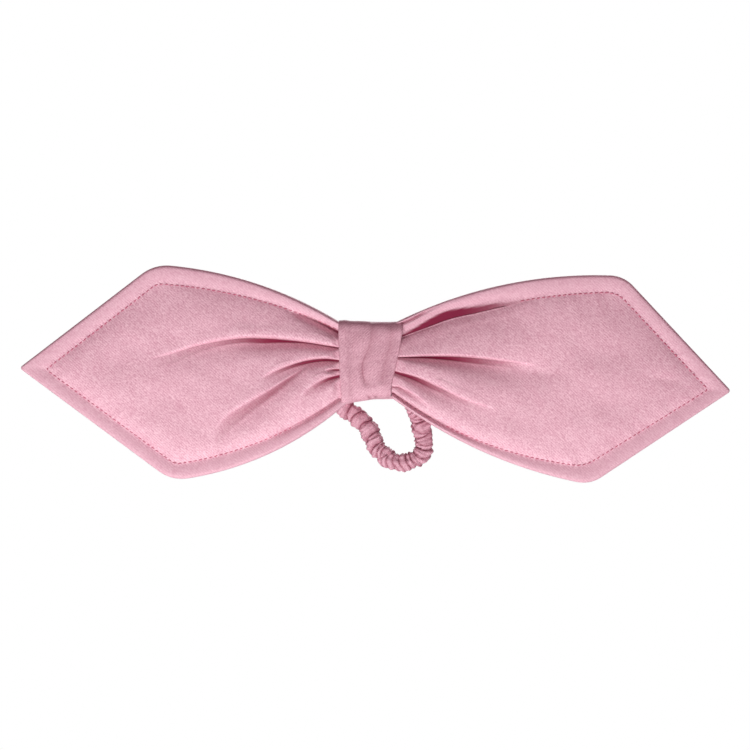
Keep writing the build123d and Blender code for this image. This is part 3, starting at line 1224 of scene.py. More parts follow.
def left_wing(finishes: Finishes) -> Wing:
    """Lay out the left wing, with its own outline and creases.

    Args:
        finishes: The bow's finishes.

    Returns:
        The wing, not built yet.
    """
    outline = WingLine(
        tip=(139.1, -2.4),
        top_corner=(85.4, 38.8),
        top_crown=(46.0, 31.6),
        top_neck=(9.5, 14.6),
        bottom_corner=(78.6, -47.2),
        bottom_crown=(42.0, -37.6),
        bottom_neck=(9.5, -17.0),
        corner_ease=6.5,
    )
    stitch_line = WingLine(
        tip=(128.2, -3.0),
        top_corner=(84.2, 31.0),
        top_crown=(46.0, 25.0),
        top_neck=(9.0, 11.2),
        bottom_corner=(77.0, -40.6),
        bottom_crown=(36.0, -28.6),
        bottom_neck=(9.0, -12.6),
        corner_ease=2.2,
        tip_ease=1.0,
    )
    folds = (
        Fold(
            (
                (12.0, 6.0, 2.6), (28.4, 8.8, 4.0), (40.8, 10.0, 4.6), (50.0, 9.9, 3.8),
                (60.0, 8.4, 2.6), (70.0, 6.0, 1.6), (78.0, 3.4, 0.8), (87.2, 0.8, 0.0),
            ),
            crisp=0.5, soft=1.2, soft_far=9.0, overhang=0.2,
            slit=(
                (12.0, 0.7, 1.0), (26.0, 1.1, 1.0), (34.0, 2.0, 1.0), (42.0, 2.8, 0.95),
                (50.0, 2.4, 0.75), (60.0, 2.4, 0.42), (70.0, 3.2, 0.26), (80.0, 4.0, 0.12),
                (87.0, 4.0, 0.0),
            ),
        ),
        Fold(
            (
                (12.0, 0.9, 2.8), (17.2, 1.4, 3.2), (25.6, 0.4, 3.0), (32.4, -1.8, 2.4),
                (38.4, -4.4, 1.2), (43.0, -7.0, 0.0),
            ),
            crisp=0.5, soft=1.4, soft_far=5.0, overhang=0.12,
            slit=(
                (12.0, 1.0, 1.0), (18.0, 1.3, 1.0), (26.0, 1.5, 0.95), (32.0, 1.4, 0.75),
                (38.0, 1.6, 0.35), (43.0, 2.0, 0.0),
            ),
        ),
        Fold(
            ((11.5, -3.0, 2.2), (14.5, -3.1, 1.6), (18.0, -3.4, 0.0)),
            soft=0.9, crisp=0.4,
            slit=((11.0, 0.6, 1.0), (14.0, 0.5, 0.9), (17.0, 0.4, 0.0)),
        ),
        Fold(
            ((12.0, -5.4, 2.8), (17.2, -7.0, 2.4), (21.6, -9.4, 1.8), (27.0, -13.6, 0.0)),
            crisp=0.5, soft=1.4, soft_far=3.0,
            slit=((12.0, 0.9, 1.0), (16.0, 1.0, 0.95), (20.0, 1.3, 0.55), (26.0, 1.6, 0.0)),
        ),
        Fold(
            (
                (21.0, 0.6, 0.0), (27.0, -3.6, 1.6), (33.0, -7.8, 2.4), (39.6, -12.2, 2.6),
                (48.0, -17.2, 2.4), (55.2, -21.8, 1.8), (61.0, -27.5, 0.0),
            ),
            crisp=0.7, soft=4.0, soft_far=7.0, haze=1.1,
            slit=(
                (21.0, 0.6, 0.0), (28.0, 1.2, 0.6), (36.0, 1.9, 0.7), (46.0, 3.0, 0.5),
                (54.0, 4.0, 0.32), (61.0, 4.0, 0.0),
            ),
        ),
        Fold(
            ((12.0, 12.0, 3.2), (18.0, 15.0, 2.8), (25.0, 18.0, 2.0), (33.0, 20.6, 0.0)),
            crisp=0.5, soft=1.6,
            slit=((12.0, 0.9, 0.95), (18.0, 0.7, 0.8), (25.0, 0.5, 0.45), (33.0, 0.4, 0.0)),
        ),
        Fold(
            (
                (12.0, -14.6, 1.0), (18.0, -18.7, 1.0), (24.0, -22.3, 0.9), (31.0, -26.0, 0.8),
                (39.0, -29.8, 0.4), (48.0, -33.3, 0.0),
            ),
            crisp=0.35, soft=0.7,
            slit=((12.0, 0.3, 0.75), (20.0, 0.3, 0.7), (30.0, 0.25, 0.5), (42.0, 0.2, 0.0)),
        ),
    )
    back_folds = (
        Fold(
            ((12.0, 7.6, 2.2), (30.0, 11.0, 2.2), (48.0, 12.4, 1.4), (68.0, 11.0, 0.0)),
            crisp=0.9, soft=6.0,
        ),
        Fold(
            ((12.0, 2.6, 1.8), (26.0, 3.2, 1.8), (42.0, 1.0, 1.0), (58.0, -3.0, 0.0)),
            crisp=0.9, soft=5.0,
        ),
        Fold(((12.0, -2.0, 1.6), (22.0, -3.6, 1.4), (34.0, -7.6, 0.0)), soft=3.2),
        Fold(
            ((12.0, -7.0, 2.0), (26.0, -11.6, 1.8), (42.0, -18.0, 1.1), (58.0, -23.0, 0.0)),
            crisp=1.0, soft=5.5,
        ),
        Fold(((12.0, 11.8, 1.8), (24.0, 16.8, 1.2), (36.0, 21.0, 0.0)), soft=3.4),
    )
    return Wing(Side.LEFT, outline, stitch_line, folds, back_folds, finishes, seed=5)


def right_wing(finishes: Finishes) -> Wing:
    """Lay out the right wing, whose top hem rolls over a deep crease beside the knot.

    Args:
        finishes: The bow's finishes.

    Returns:
        The wing, not built yet.
    """
    outline = WingLine(
        tip=(144.1, -11.6),
        top_corner=(101.4, 34.2),
        top_crown=(52.0, 30.4),
        top_neck=(9.5, 15.2),
        bottom_corner=(88.0, -48.8),
        bottom_crown=(46.8, -36.4),
        bottom_neck=(9.5, -14.6),
        corner_ease=5.5,
    )
    stitch_line = WingLine(
        tip=(134.6, -11.0),
        top_corner=(98.6, 27.6),
        top_crown=(56.0, 23.4),
        top_neck=(9.0, 8.6),
        bottom_corner=(85.6, -41.4),
        bottom_crown=(40.0, -29.8),
        bottom_neck=(9.0, -12.0),
        corner_ease=4.6,
        tip_ease=1.0,
    )
    folds = (
        Fold(
            (
                (12.0, 9.2, 5.2), (17.2, 11.2, 5.2), (24.4, 13.8, 5.4), (30.8, 16.2, 5.4),
                (36.4, 17.7, 5.2), (42.0, 18.9, 5.0), (48.4, 20.5, 4.2), (56.4, 22.4, 2.4),
                (66.0, 25.0, 0.0),
            ),
            crisp=0.45, soft=2.2, crisp_above=False, overhang=0.1, shoulder=0.42, shade=0.25,
            slit=(
                (12.0, 0.9, 1.0), (17.2, 1.7, 1.0), (24.4, 3.3, 1.0), (30.8, 3.9, 1.0),
                (36.4, 3.6, 1.0), (42.0, 3.0, 0.95), (48.4, 2.5, 0.85), (56.4, 1.5, 0.5),
                (66.0, 0.9, 0.0),
            ),
        ),
        Fold(
            (
                (12.0, 2.2, 2.8), (25.0, 2.8, 4.0), (35.2, 2.8, 4.8), (44.8, 1.9, 4.2),
                (56.0, 0.2, 2.4), (68.0, -1.8, 0.0),
            ),
            crisp=0.5, soft=1.0, soft_far=8.0, overhang=0.2,
            slit=(
                (12.0, 0.6, 1.0), (20.0, 1.2, 1.0), (28.0, 2.0, 1.0), (36.0, 2.8, 0.95),
                (44.0, 3.0, 0.75), (52.0, 2.6, 0.4), (62.0, 2.4, 0.0),
            ),
        ),
        Fold(
            (
                (10.4, -3.6, 2.8), (19.6, -6.3, 3.2), (26.8, -9.6, 2.8), (35.2, -13.8, 1.6),
                (43.0, -16.8, 0.8), (52.0, -19.4, 0.0),
            ),
            crisp=0.5, soft=1.6, soft_far=7.0, overhang=0.1,
            slit=(
                (10.4, 1.0, 1.0), (16.0, 1.5, 1.0), (22.0, 2.0, 0.85), (30.0, 1.8, 0.5),
                (38.0, 2.2, 0.25), (46.0, 2.4, 0.0),
            ),
        ),
        Fold(
            ((11.6, -10.0, 1.8), (18.4, -13.8, 1.4), (25.5, -19.4, 0.0)),
            crisp=0.6, soft=1.4,
            slit=((11.0, 0.4, 0.8), (16.0, 0.5, 0.5), (22.0, 0.6, 0.0)),
        ),
        Fold(
            (
                (12.0, 15.0, 2.0), (17.2, 17.2, 2.0), (24.4, 21.4, 1.8), (30.8, 24.0, 1.4),
                (38.0, 26.4, 0.8), (46.0, 28.8, 0.0),
            ),
            crisp=0.35, soft=0.9,
            slit=(
                (12.0, 0.4, 0.9), (20.0, 0.4, 0.9), (28.0, 0.3, 0.7), (36.0, 0.3, 0.3),
                (44.0, 0.3, 0.0),
            ),
        ),
        Fold(
            (
                (9.6, -12.3, 1.0), (16.0, -16.7, 1.0), (23.0, -21.1, 0.9), (30.0, -24.9, 0.8),
                (39.0, -29.2, 0.4), (50.0, -33.5, 0.0),
            ),
            crisp=0.35, soft=0.7,
            slit=((9.6, 0.3, 0.75), (20.0, 0.3, 0.7), (30.0, 0.25, 0.5), (42.0, 0.2, 0.0)),
        ),
        Fold(
            ((50.0, -1.0, 0.6), (62.0, -3.6, 0.9), (74.0, -5.0, 0.6), (84.0, -6.0, 0.0)),
            crisp=5.0, soft=5.0, darkness=0.2,
        ),
        Fold(
            ((108.0, -6.0, 0.0), (118.4, -7.2, 0.5), (126.0, -8.0, 0.0)),
            crisp=2.4, soft=3.0, darkness=0.3,
        ),
    )
    back_folds = (
        Fold(
            ((12.0, 8.0, 2.2), (28.0, 12.0, 2.2), (46.0, 14.0, 1.3), (66.0, 14.0, 0.0)),
            crisp=0.9, soft=6.0,
        ),
        Fold(
            ((12.0, 3.0, 1.9), (28.0, 3.4, 1.9), (46.0, 0.6, 1.1), (64.0, -4.0, 0.0)),
            crisp=0.8, soft=5.0,
        ),
        Fold(((12.0, -1.6, 1.5), (22.0, -3.0, 1.3), (34.0, -6.6, 0.0)), soft=3.2),
        Fold(
            ((12.0, -6.0, 2.0), (26.0, -10.6, 1.8), (44.0, -17.6, 1.1), (60.0, -22.0, 0.0)),
            crisp=1.0, soft=5.5,
        ),
    )
    return Wing(Side.RIGHT, outline, stitch_line, folds, back_folds, finishes, seed=8)


# ---------------------------------------------------------------- knot


@dataclass
class KnotBand:
    """The folded band wrapped round the gathers, with the gathered cloth inside it."""

    finishes: Finishes
    across: int = 96
    around: int = 300
    wall: float = 1.3
    edge_roll: float = 0.65
    front_power: float = 4.6
    back_power: float = 7.0
    top_slope: float = -0.03
    bottom_slope: float = 0.15
    crease_depth: float = 0.95
    right_fall: float = 0.8
    edge_puff: float = 0.35
    lump_height: float = 0.12
    tuck_rows: int = 9
    tuck_depth: float = 4.0
    hem_share: float = 0.15
    # Strength of the painted shade in the band's creases.
    fold_shade: float = 0.8
    gathers_half_width: float = 9.6
    gathers_depth: float = 1.15
    pleats: int = 5
    closing_stitches: int = 7
    closing_slant: float = 0.35
    closing_radius: float = 0.24

    def __post_init__(self) -> None:
        """Take the band's size from the frame."""
        low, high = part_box("knot_band")
        self.low = np.array(low) / MM
        self.high = np.array(high) / MM

    def edges(self, up: Points, lift: Points) -> tuple[Points, Points]:
        """The band's left and right edges.

        Args:
            up: Heights.
            lift: 1 on the band's front and 0 on its back.

        Returns:
            X of the left and of the right edge at each height.
        """
        left_edge = [(-16.0, -10.2), (-6.0, -10.9), (6.0, -11.3), (16.0, -11.5)]
        right_edge = [(-15.0, 8.3), (-10.8, 8.2), (-3.0, 9.8), (4.0, 11.3), (11.0, 12.4), (16.0, 12.8)]
        left, right = smooth_line(left_edge, up), smooth_line(right_edge, up)
        return left, right * lift + (right * 0.4 + 7.0) * (1.0 - lift)

    def section(self) -> tuple[Points, Points]:
        """The band's outer section in the YZ plane, evenly spaced.

        Returns:
            Points (Y, Z), and their outward directions.
        """
        turn = np.linspace(0.0, FULL_TURN, 4001)
        c, s = np.cos(turn), np.sin(turn)
        power = np.where(c > 0, self.front_power, self.back_power)
        depth = (self.high[1] - self.low[1]) / 2
        y = (self.high[1] + self.low[1]) / 2 - depth * np.sign(c) * np.abs(c) ** (2.0 / power)
        z = (self.high[2] - self.low[2]) / 2 * np.sign(s) * np.abs(s) ** (2.0 / power)
        line = resample(np.column_stack([y, z + (self.high[2] + self.low[2]) / 2]), self.around)[:-1]
        ahead = np.roll(line, -1, axis=0) - np.roll(line, 1, axis=0)
        ahead /= np.linalg.norm(ahead, axis=1)[:, None]
        return line, np.column_stack([ahead[:, 1], -ahead[:, 0]]) * -1.0

    def creases(self, x: Points, z: Points) -> Points:
        """Measure the creases in the band's front.

        Args:
            x: Places across the band.
            z: Places up it.

        Returns:
            The depth at each place.
        """
        total = np.zeros(np.broadcast(x, z).shape)
        long_crease = [
            (-12.0, -0.6), (-8.0, -1.7), (-3.6, -2.6), (-0.8, -2.6), (2.8, -1.3), (8.0, 0.6), (15.0, 1.5),
        ]
        lines = (
            (long_crease, 1.0, 2.8, (-11.0, 19.5), 0.62),
            (long_crease, 0.3, 0.8, (-10.0, 5.0), 0.85),
            ([(-9.0, 4.6), (-1.0, 6.2), (7.2, 8.4), (14.0, 9.2)], 1.6, 4.2, (-10.0, 17.0), 0.6),
            ([(-16.0, 1.1), (-12.6, -1.1)], 0.3, 1.1, (-17.0, -12.0), 0.9),
            ([(-16.0, 3.6), (-12.4, 0.8)], 0.3, 1.1, (-17.0, -12.2), 0.9),
            ([(-16.0, -6.0), (-6.0, -7.0), (6.0, -6.4), (16.0, -5.0)], 2.2, 3.0, (-15.0, 15.0), 0.3),
        )
        for route, crisp, soft, (low, high), depth in lines:
            away = x - smooth_line(route, z)
            reach = smooth_step(z, low, low + 3.0) * (1.0 - smooth_step(z, high - 3.0, high))
            side = np.where(away < 0, np.exp(-((-np.minimum(away, 0) / crisp) ** 1.4)), 1.0)
            side = side * np.exp(-((np.maximum(away, 0.0) / soft) ** 1.3))
            total = np.maximum(total, depth * side * reach)
        return total * self.crease_depth

    def columns(self, left: Points, right: Points) -> list[tuple[Points, float]]:
        """Divide the band from edge to edge, with its edges rolled under.

        Args:
            left: X of the left edge at each place round the band.
            right: X of the right edge there.

        Returns:
            Each column's X at each place round the band, and its level.
        """
        share = np.linspace(-1.0, 1.0, self.across)
        rolled = 0.5 - 0.5 * np.cos(math.pi * (share + 1.0) / 2.0)
        rolled = 0.4 * rolled + 0.6 * (share + 1.0) / 2.0
        tucks = []
        for side, edge in ((-1.0, left), (1.0, right)):
            tuck = []
            for angle in np.linspace(0.0, math.pi, self.tuck_rows)[1:]:
                x = edge + side * self.edge_roll * math.sin(angle)
                tuck.append((x, -self.edge_roll * (1.0 - math.cos(angle))))
            tucks.append([*tuck, (edge - side * self.tuck_depth, -self.wall)])
        face = [(left + (right - left) * value, 0.0) for value in rolled]
        return [*reversed(tucks[0]), *face, *tucks[1]]

    def lumps(self, x: Points, z: Points, along: Points, front: Points) -> Points:
        """Unevenness of the band's cloth, with the fall towards its right edge.

        Args:
            x: Places across the band.
            z: Places up it.
            along: Distance round the band.
            front: 1 on the band's front and 0 on its back.

        Returns:
            Heights to add.
        """
        soft = self.lump_height * ripple(x, along, 9.0, 77) * (0.3 + 0.7 * front)
        flat_part = 1.0 - smooth_step(np.abs(z), 8.0, 13.0)
        return soft - self.right_fall * smooth_step(x, 4.0, 12.5) * flat_part * front

    def make_band(self) -> Piece:
        """Make the band round the gathers.

        Returns:
            The band.
        """
        line, normal = self.section()
        front = 1.0 - smooth_step(line[:, 0], self.low[1] + 4.0, self.low[1] + 11.0)
        left, right = self.edges(line[:, 1], front)
        grid = self.columns(left, right)
        along = lengths_along(np.vstack([line, line[:1]]))[:-1]
        slanted = 1.0 - smooth_step(line[:, 0], self.high[1] - 8.0, self.high[1] - 2.0)
        points, cloth, folds = [], [], []
        for x, drop in grid:
            depth = self.creases(x, line[:, 1]) * front
            # Painted shade in the band's creases, from their depth.
            folds.append(np.clip(depth / self.crease_depth, 0.0, 1.0) ** 2.4 * self.fold_shade)
            near_edge = np.minimum(np.abs(x - left), np.abs(x - right))
            puff = self.edge_puff * np.exp(-(((near_edge - 2.2) / 1.6) ** 2)) * front * (drop > -0.05)
            level = drop - depth + puff + self.lumps(x, line[:, 1], along, front)
            z = line[:, 1] + normal[:, 1] * level
            slope = np.where(z < 0, self.bottom_slope * x, self.top_slope * x)
            z = z + slope * smooth_step(np.abs(z), 9.0, 15.0) * slanted
            points.append(np.column_stack([x, line[:, 0] + normal[:, 0] * level, z]))
            cloth.append(np.column_stack([x, along, np.zeros(self.around)]))
        quads = grid_quads(len(grid), self.around, wrap=True, flip=True)
        hem = np.full(len(grid) * self.around, self.hem_share)
        points, cloth, fold = np.vstack(points), np.vstack(cloth), np.concatenate(folds)
        piece = make_mesh("wrapped_band", points, quads, self.finishes.bias_satin, cloth, hem, fold)
        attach(piece, "knot")
        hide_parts("knot_band")
        return piece

    def make_closing_stitches(self) -> Piece:
        """Make the ladder of hand stitches that closes the band at the back.

        Returns:
            The stitches, as one piece.
        """
        low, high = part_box("band_closing_stitches")
        heights = np.linspace(low.z / MM, high.z / MM, self.closing_stitches)
        middle = (low.x + high.x) / 2 / MM
        half = (high.x - low.x) / 2 / MM
        rings, around = 11, 8
        t = np.linspace(-1.0, 1.0, rings)
        points, quads = [], []
        for k, height in enumerate(heights):
            slant = self.closing_slant * (-1) ** k
            path = np.column_stack([middle + half * t, 0.28 - 0.75 * t**4, height + slant * t])
            radius = np.full((rings, around), self.closing_radius) * np.sqrt(1.0 - 0.9 * t[:, None] ** 8)
            base = k * rings * around
            points.append(tube_points(path, radius, around))
            quads += [tuple(base + i for i in quad) for quad in grid_quads(rings, around, wrap=True)]
        piece = make_mesh("closing_stitches", np.vstack(points), quads, self.finishes.thread)
        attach(piece, "knot")
        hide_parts("band_closing_stitches")
        return piece

    def make_gathers(self, face: Face) -> Piece:
        """Make one layer of the panels' gathered middle, inside the band.

        Args:
            face: Front or back layer.

        Returns:
            The gathered cloth.
        """
        low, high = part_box(f"{face.word}_pleats")
        columns, rows = 40, 220
        x = np.linspace(-self.gathers_half_width, self.gathers_half_width, columns)
        z = np.linspace(low.z / MM + 0.3, high.z / MM - 0.3, rows)
        middle = (low.y + high.y) / 2 / MM
        wave = np.sin(FULL_TURN * self.pleats * (z - z[0]) / (z[-1] - z[0]) + 0.5 * face.value)
        pinch = 1.0 - 0.35 * np.exp(-((x / 2.0) ** 2))
        y = middle + self.gathers_depth * wave[None, :] * pinch[:, None]
        grid = np.stack([np.repeat(x[:, None], rows, 1), y, np.repeat(z[None], columns, 0)], -1)
        cloth = np.stack([grid[..., 0], grid[..., 2] * 1.6, grid[..., 1]], -1)
        quads = grid_quads(columns, rows)
        piece = make_mesh(
            f"gathered_middle_{face.word}",
            grid.reshape(-1, 3),
            quads,
            self.finishes.satin,
            cloth.reshape(-1, 3),
        )
        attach(piece, "knot")
        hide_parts(f"{face.word}_pleats")
        return piece

    def build(self) -> list[Piece]:
        """Make the knot.

        Returns:
            The pieces.
        """
        band = self.make_band()
        stitches = self.make_closing_stitches()
        layers = [self.make_gathers(face) for face in Face]
        finish_node("gathering_thread", self.finishes.thread)
        return [band, stitches, *layers]


# ---------------------------------------------------------------- hair loop


@dataclass
class HairLoop:
    """The ruched casing on its elastic, hanging from the band's tunnel."""

    finishes: Finishes
    route: tuple[tuple[float, float], ...] = (
        (-11.4, 0.0), (-16.4, 0.0), (-14.6, -12.8), (-6.8, -20.8), (-0.6, -24.2), (4.4, -37.0),
        (13.4, -40.8), (21.8, -37.0), (21.6, -28.5), (17.0, -17.0), (18.6, 0.0), (12.4, 0.0),
    )
    spans: int = 900
    around: int = 72
    valley: float = 2.4
    crown: float = 3.75
    outer_lobe: float = 1.0
    outer_lobe_pitch: float = 7.4
    run_radius: float = 3.1
    elastic_radius: float = 1.8
    elastic_spans: int = 260
    elastic_around: int = 20
    casing_fullness: float = 1.9
    casing_width: float = 24.0
    crease_shade: float = 1.15
    open_room: float = 9.0
    gather_pitch: tuple[float, float] = (3.0, 5.8)
    gather_lean: tuple[float, float] = (0.4, 3.4)
    least_gap: float = 0.5
    lower_half: float = 0.46
    tightening: float = 0.46
    lobe_fullness: float = 0.6
    inner_flattening: float = 0.45
    wrinkle_waves: int = 5
    wrinkle_depth: float = 0.09
    roughness: float = 0.20
    stretch_top: float = -5.0
    stretch_bottom: float = -26.0
    seed: int = 31

    def __post_init__(self) -> None:
        """Take the loop's depth from the frame."""
        low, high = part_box("casing_end")
        self.y = (low.y + high.y) / 2 / MM

    def centre_line(self, spans: int) -> Points:
        """The closed centre line, evenly spaced, as smooth arcs between the route's runs.

        Args:
            spans: Number of equal spans.

        Returns:
            Points (X, Y, Z), without repeating the first.
        """
        corners = np.array(self.route)
        before = (np.roll(corners, 1, axis=0) + corners) / 2
        after = (corners + np.roll(corners, -1, axis=0)) / 2
        t = np.linspace(0.0, 1.0, 40, endpoint=False)[:, None]
        turns = zip(before, corners, after)
        pieces = [(1 - t) ** 2 * a + 2 * t * (1 - t) * c + t**2 * b for a, c, b in turns]
        line = np.vstack([*pieces, pieces[0][:1]])
        line = resample(line, spans)[:-1]
        return np.column_stack([line[:, 0], np.full(len(line), self.y), line[:, 1]])

    def crease_lines(self, draw: np.random.Generator, total: float, turn: Points) -> Points:
        """Lay the creases between the gathers, closer together along the loop's lower half.

        Args:
            draw: Source of their unevenness.
            total: Length of the centre line.
            turn: Angle of each place round the tube.

        Returns:
            Each crease's distance along the centre line, at each place round the tube.
        """
        low, high = self.gather_pitch
        places = [0.0]
        while places[-1] < total:
            tight = smooth_step(places[-1], total * 0.36, total * self.lower_half)
            places.append(places[-1] + draw.uniform(low, high) * (1.0 - self.tightening * tight))
        places = np.array(places) * total / places[-1]
        lean = draw.uniform(*self.gather_lean, len(places))
        phase = draw.uniform(-0.7, 0.7, len(places))
        bend = draw.uniform(-0.5, 0.5, len(places))
        for values in (lean, phase, bend):
            values[-1] = values[0]
        crease = places[:, None] + lean[:, None] * np.sin(turn[None] + phase[:, None])
        crease += bend[:, None] * np.sin(2.0 * turn)[None]
        order = self.least_gap * np.arange(len(places))[:, None]
        return np.maximum.accumulate(crease + order, axis=0) - order

    def wrinkles(self, draw: np.random.Generator, along: Points, total: float, turn: Points) -> Points:
        """Add fine wrinkles to the gathers.

        Args:
            draw: Source of their unevenness.
            along: Distance along the centre line at each ring.
            total: Length of the centre line.
            turn: Angle of each place round the tube.

        Returns:
            Heights to add at each ring and place round it.
        """
        waves = np.zeros((len(along), len(turn)))
        for _ in range(self.wrinkle_waves):
            around_count = draw.integers(1, 4)
            count = round(total / draw.uniform(1.3, 2.8))
            angle = FULL_TURN * count * along[:, None] / total
            waves += np.sin(angle + around_count * turn[None] + draw.uniform(0.0, 6.0))
        rough = ripple(along[:, None], 4.3 * turn[None], 3.6, self.seed + 2)
        return self.wrinkle_depth * waves + self.roughness * rough

    def outer_lobes(self, along: Points, total: float, turn: Points) -> tuple[Points, Points]:
        """Let the cloth stand out in lobes on the outside of the loop's curve.

        Args:
            along: Distance along the centre line at each ring.
            total: Length of the centre line.
            turn: Angle of each place round the tube.

        Returns:
            Heights to add at each ring and place round it, and the share of painted shade between lobes.
        """
        curved = smooth_step(along, total * 0.40, total * self.lower_half)
        curved = curved * (1.0 - smooth_step(along, total * 0.78, total * 0.86))
        phase = math.pi * along / self.outer_lobe_pitch + 0.6 * np.sin(along / 5.0)
        lobes = np.abs(np.sin(phase)) ** 0.8 - 0.35
        outside = np.maximum(-np.cos(turn), 0.0) ** 1.5
        painted_shade_between_lobes = curved * np.clip(-2.4 * lobes, 0.0, 0.8)
        stand_out = self.outer_lobe * (curved * lobes)[:, None] * outside[None]
        return stand_out, painted_shade_between_lobes[:, None] * outside[None]

    def gathers(self, along: Points, total: float) -> tuple[Points, Points]:
        """Shape the ruched cloth.

        Args:
            along: Distance along the centre line at each ring.
            total: Length of the centre line.

        Returns:
            The radius at each ring and place round it, and the share of painted shade there, darkest deep
            in a gather.
        """
        draw = np.random.default_rng(self.seed)
        turn = np.linspace(0.0, FULL_TURN, self.around, endpoint=False)
        crease = self.crease_lines(draw, total, turn)
        swell = draw.uniform(0.85, 1.1, len(crease))
        depth = draw.uniform(0.8, 1.0, len(crease))
        depth[-1] = depth[0]
        radius = np.zeros((len(along), self.around))
        painted_shade = np.zeros((len(along), self.around))
        for column in range(self.around):
            line = crease[:, column]
            left = np.clip(np.searchsorted(line, along) - 1, 0, len(line) - 2)
            gap = np.maximum(line[left + 1] - line[left], 0.4)
            share = np.clip((along - line[left]) / gap, 0.0, 1.0)
            lobe = np.sqrt(np.maximum(1.0 - (2.0 * share - 1.0) ** 2, 0.0)) ** self.lobe_fullness
            cut = depth[left] * (1.0 - share) + depth[left + 1] * share
            fill = np.clip(gap / 4.0, 0.6, 1.1) * swell[left]
            top = self.valley + (self.crown - self.valley) * fill
            top = top - self.inner_flattening * math.cos(turn[column])
            radius[:, column] = top - (top - self.valley) * cut * (1.0 - lobe)
            # Painted shade: darkest deep between gathers.
            painted_shade[:, column] = cut * np.clip(1.0 - lobe, 0.0, 1.0) ** 0.7
        stand_out, painted_shade_between_lobes = self.outer_lobes(along, total, turn)
        radius = radius + stand_out + self.wrinkles(draw, along, total, turn)
        return radius, np.maximum(painted_shade, painted_shade_between_lobes)

    def make_casing(self) -> Piece:
        """Make the ruched casing.

        Returns:
            The casing.
        """
        line = self.centre_line(self.spans)
        closed = np.vstack([line, line[:1]])
        along = lengths_along(closed)
        total, along = along[-1], along[:-1]
        radius, painted_shade = self.gathers(along, total)
        inside = (np.abs(line[:, 0]) < 15.0) & (line[:, 2] > -4.0)
        squeeze = np.where(inside, 1.0, 0.0)
        kernel = np.hanning(41) / np.hanning(41).sum()
        lapped = np.concatenate([squeeze[-40:], squeeze, squeeze[:40]])
        squeeze = np.convolve(lapped, kernel, "same")[40:-40]
        limit = self.run_radius * squeeze + self.open_room * (1.0 - squeeze)
        radius = np.minimum(radius, limit[:, None])
        points = tube_points(line, radius, self.around, closed=True)
        quads = closed_tube_quads(self.spans, self.around)
        cloth = tube_cloth(along * self.casing_fullness, self.around, self.casing_width)
        # Painted shade in the casing's gathers, passed on as the fold attribute.
        fold = np.clip(self.crease_shade * painted_shade.ravel(), 0.0, 1.0)
        piece = make_mesh("ruched_casing", points, quads, self.finishes.bias_satin, cloth, fold=fold)
        nodes = ("casing_run", "casing_left_limb", "casing_right_limb", "casing_end")
        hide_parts(*nodes)
        return piece

    def make_elastic(self) -> Piece:
        """Make the elastic inside the casing.

        Returns:
            The elastic.
        """
        spans, around = self.elastic_spans, self.elastic_around
        line = self.centre_line(spans)
        points = tube_points(line, np.full((spans, around), self.elastic_radius), around, closed=True)
        quads = closed_tube_quads(spans, around)
        cloth = tube_cloth(lengths_along(line), around, FULL_TURN * self.elastic_radius)
        piece = make_mesh("elastic_cord", points, quads, self.finishes.elastic, cloth)
        nodes = ("elastic_run", "elastic_left_limb", "elastic_right_limb", "elastic_end")
        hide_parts(*nodes)
        return piece

    def build(self) -> list[Piece]:
        """Make the loop.

        Returns:
            The pieces.
        """
        pieces = [self.make_casing(), self.make_elastic()]
        for piece in pieces:
            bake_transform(piece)
        for node in ("elastic_whipping", "casing_join_stitches"):
            finish_node(node, self.finishes.thread)
        return pieces


# ---------------------------------------------------------------- studio


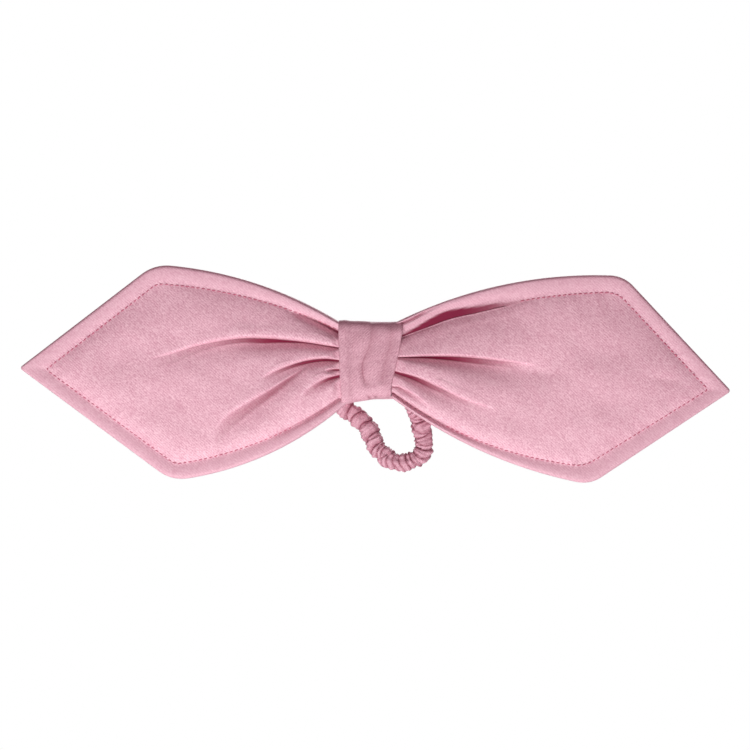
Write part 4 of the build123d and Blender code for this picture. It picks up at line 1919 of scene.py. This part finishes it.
@dataclass
class Studio:
    """Camera, pale floor and soft light."""

    picture_width: float = 300.0
    look_at: tuple[float, float] = (2.4, -5.2)
    lens: float = 85.0
    sensor: float = 36.0
    floor_drop: float = 620.0
    floor_radius: float = 1500.0
    floor_corners: int = 96
    glow: Colour = (1.0, 0.66, 0.74)
    glow_strength: float = 0.24

    def make_camera(self) -> Piece:
        """Set the camera straight in front of the bow.

        Returns:
            The camera.
        """
        data = bpy.data.cameras.new("camera")
        data.lens = self.lens
        data.sensor_width = self.sensor
        low, high = CAD_BOX
        depth = (low.y + high.y) / 2
        distance = self.picture_width * MM / 2 / (self.sensor / 2 / self.lens)
        camera = bpy.data.objects.new("camera", data)
        camera.location = (self.look_at[0] * MM, depth - distance, self.look_at[1] * MM)
        camera.rotation_euler = (math.radians(90.0), 0.0, 0.0)
        bpy.context.scene.collection.objects.link(camera)
        bpy.context.scene.camera = camera
        return camera

    def make_floor(self) -> Piece:
        """Lay the pale floor well under the bow.

        Returns:
            The floor.
        """
        sheet = NodeSheet("pale_floor")
        place = sheet.add("ShaderNodeTexCoord").outputs["Object"]
        grain = sheet.noise(place, 14.0, 3.0)
        colour = sheet.mix(grain, (0.86, 0.86, 0.86), (0.90, 0.90, 0.90))
        sheet.set_shader(Base_Color=colour, Roughness=0.85)
        count = self.floor_corners
        turn = np.linspace(0.0, FULL_TURN, count, endpoint=False)
        rim = np.column_stack([np.cos(turn), np.sin(turn), np.zeros(count)]) * self.floor_radius
        rim[:, 2] = -self.floor_drop
        points = np.vstack([[[0.0, 0.0, -self.floor_drop]], rim])
        faces = [(0, 1 + k, 1 + (k + 1) % count) for k in range(count)]
        floor = make_mesh("floor", points, faces, sheet.material)
        floor.visible_diffuse = False
        return floor

    def make_light(
        self, name: str, place: tuple, size: float, power: float, aim: tuple | None = None
    ) -> Piece:
        """Hang a soft light.

        Args:
            name: The light's name.
            place: Where it hangs, in metres.
            size: Its width, in metres.
            power: Its power in watts.
            aim: Direction that it shines in, or None to face the bow.

        Returns:
            The light.
        """
        data = bpy.data.lights.new(name, "AREA")
        data.size = size
        data.energy = power
        lamp = bpy.data.objects.new(name, data)
        lamp.location = place
        facing = -Vector(place) if aim is None else Vector(aim)
        lamp.rotation_euler = facing.to_track_quat("-Z", "Y").to_euler()
        lamp.visible_camera = False
        bpy.context.scene.collection.objects.link(lamp)
        return lamp

    def make_surround(self) -> None:
        """Surround the scene with a white backdrop and a dim, warm glow."""
        world = bpy.data.worlds.new("white_surround")
        bpy.context.scene.world = world
        world.use_nodes = True
        tree = world.node_tree
        glow = tree.nodes["Background"]
        backdrop = tree.nodes.new("ShaderNodeBackground")
        lights = ((glow, self.glow, self.glow_strength), (backdrop, (1.0, 1.0, 1.0), 1.0))
        for light, colour, strength in lights:
            light.inputs[0].default_value = rgba(colour)
            light.inputs[1].default_value = strength
        rays = tree.nodes.new("ShaderNodeLightPath")
        choose = tree.nodes.new("ShaderNodeMixShader")
        tree.links.new(rays.outputs["Is Camera Ray"], choose.inputs[0])
        tree.links.new(glow.outputs[0], choose.inputs[1])
        tree.links.new(backdrop.outputs[0], choose.inputs[2])
        tree.links.new(choose.outputs[0], tree.nodes["World Output"].inputs[0])

    def build(self) -> None:
        """Set up the studio."""
        self.make_camera()
        self.make_floor()
        self.make_light("key_from_below", (-0.11, -0.55, -0.55), 0.34, 6.7)
        self.make_light("fill_from_front", (-0.15, -0.90, 0.25), 0.8, 0.9)
        self.make_light("back_fill", (0.25, 0.85, 0.30), 0.7, 6.0)
        self.make_light("floor_light", (0.0, 0.0, -0.25), 3.2, 20.0, aim=(0.0, 0.0, -1.0))
        self.make_surround()
        bpy.context.scene.view_settings.view_transform = "Standard"


def report(name: str, pieces: list[Piece]) -> None:
    """Say what a sub-assembly is made of."""
    for piece in pieces:
        log.info("%s: %s, %d faces", name, piece.name, len(piece.data.polygons))


def main() -> None:
    """Build the bow and its studio in order."""
    logging.basicConfig(level=logging.INFO, format="%(message)s")
    Studio().build()
    finishes = Finishes.make()
    report("left wing", left_wing(finishes).build())
    report("right wing", right_wing(finishes).build())
    report("knot", KnotBand(finishes).build())
    report("hair loop", HairLoop(finishes).build())


if __name__ == "__main__":
    main()
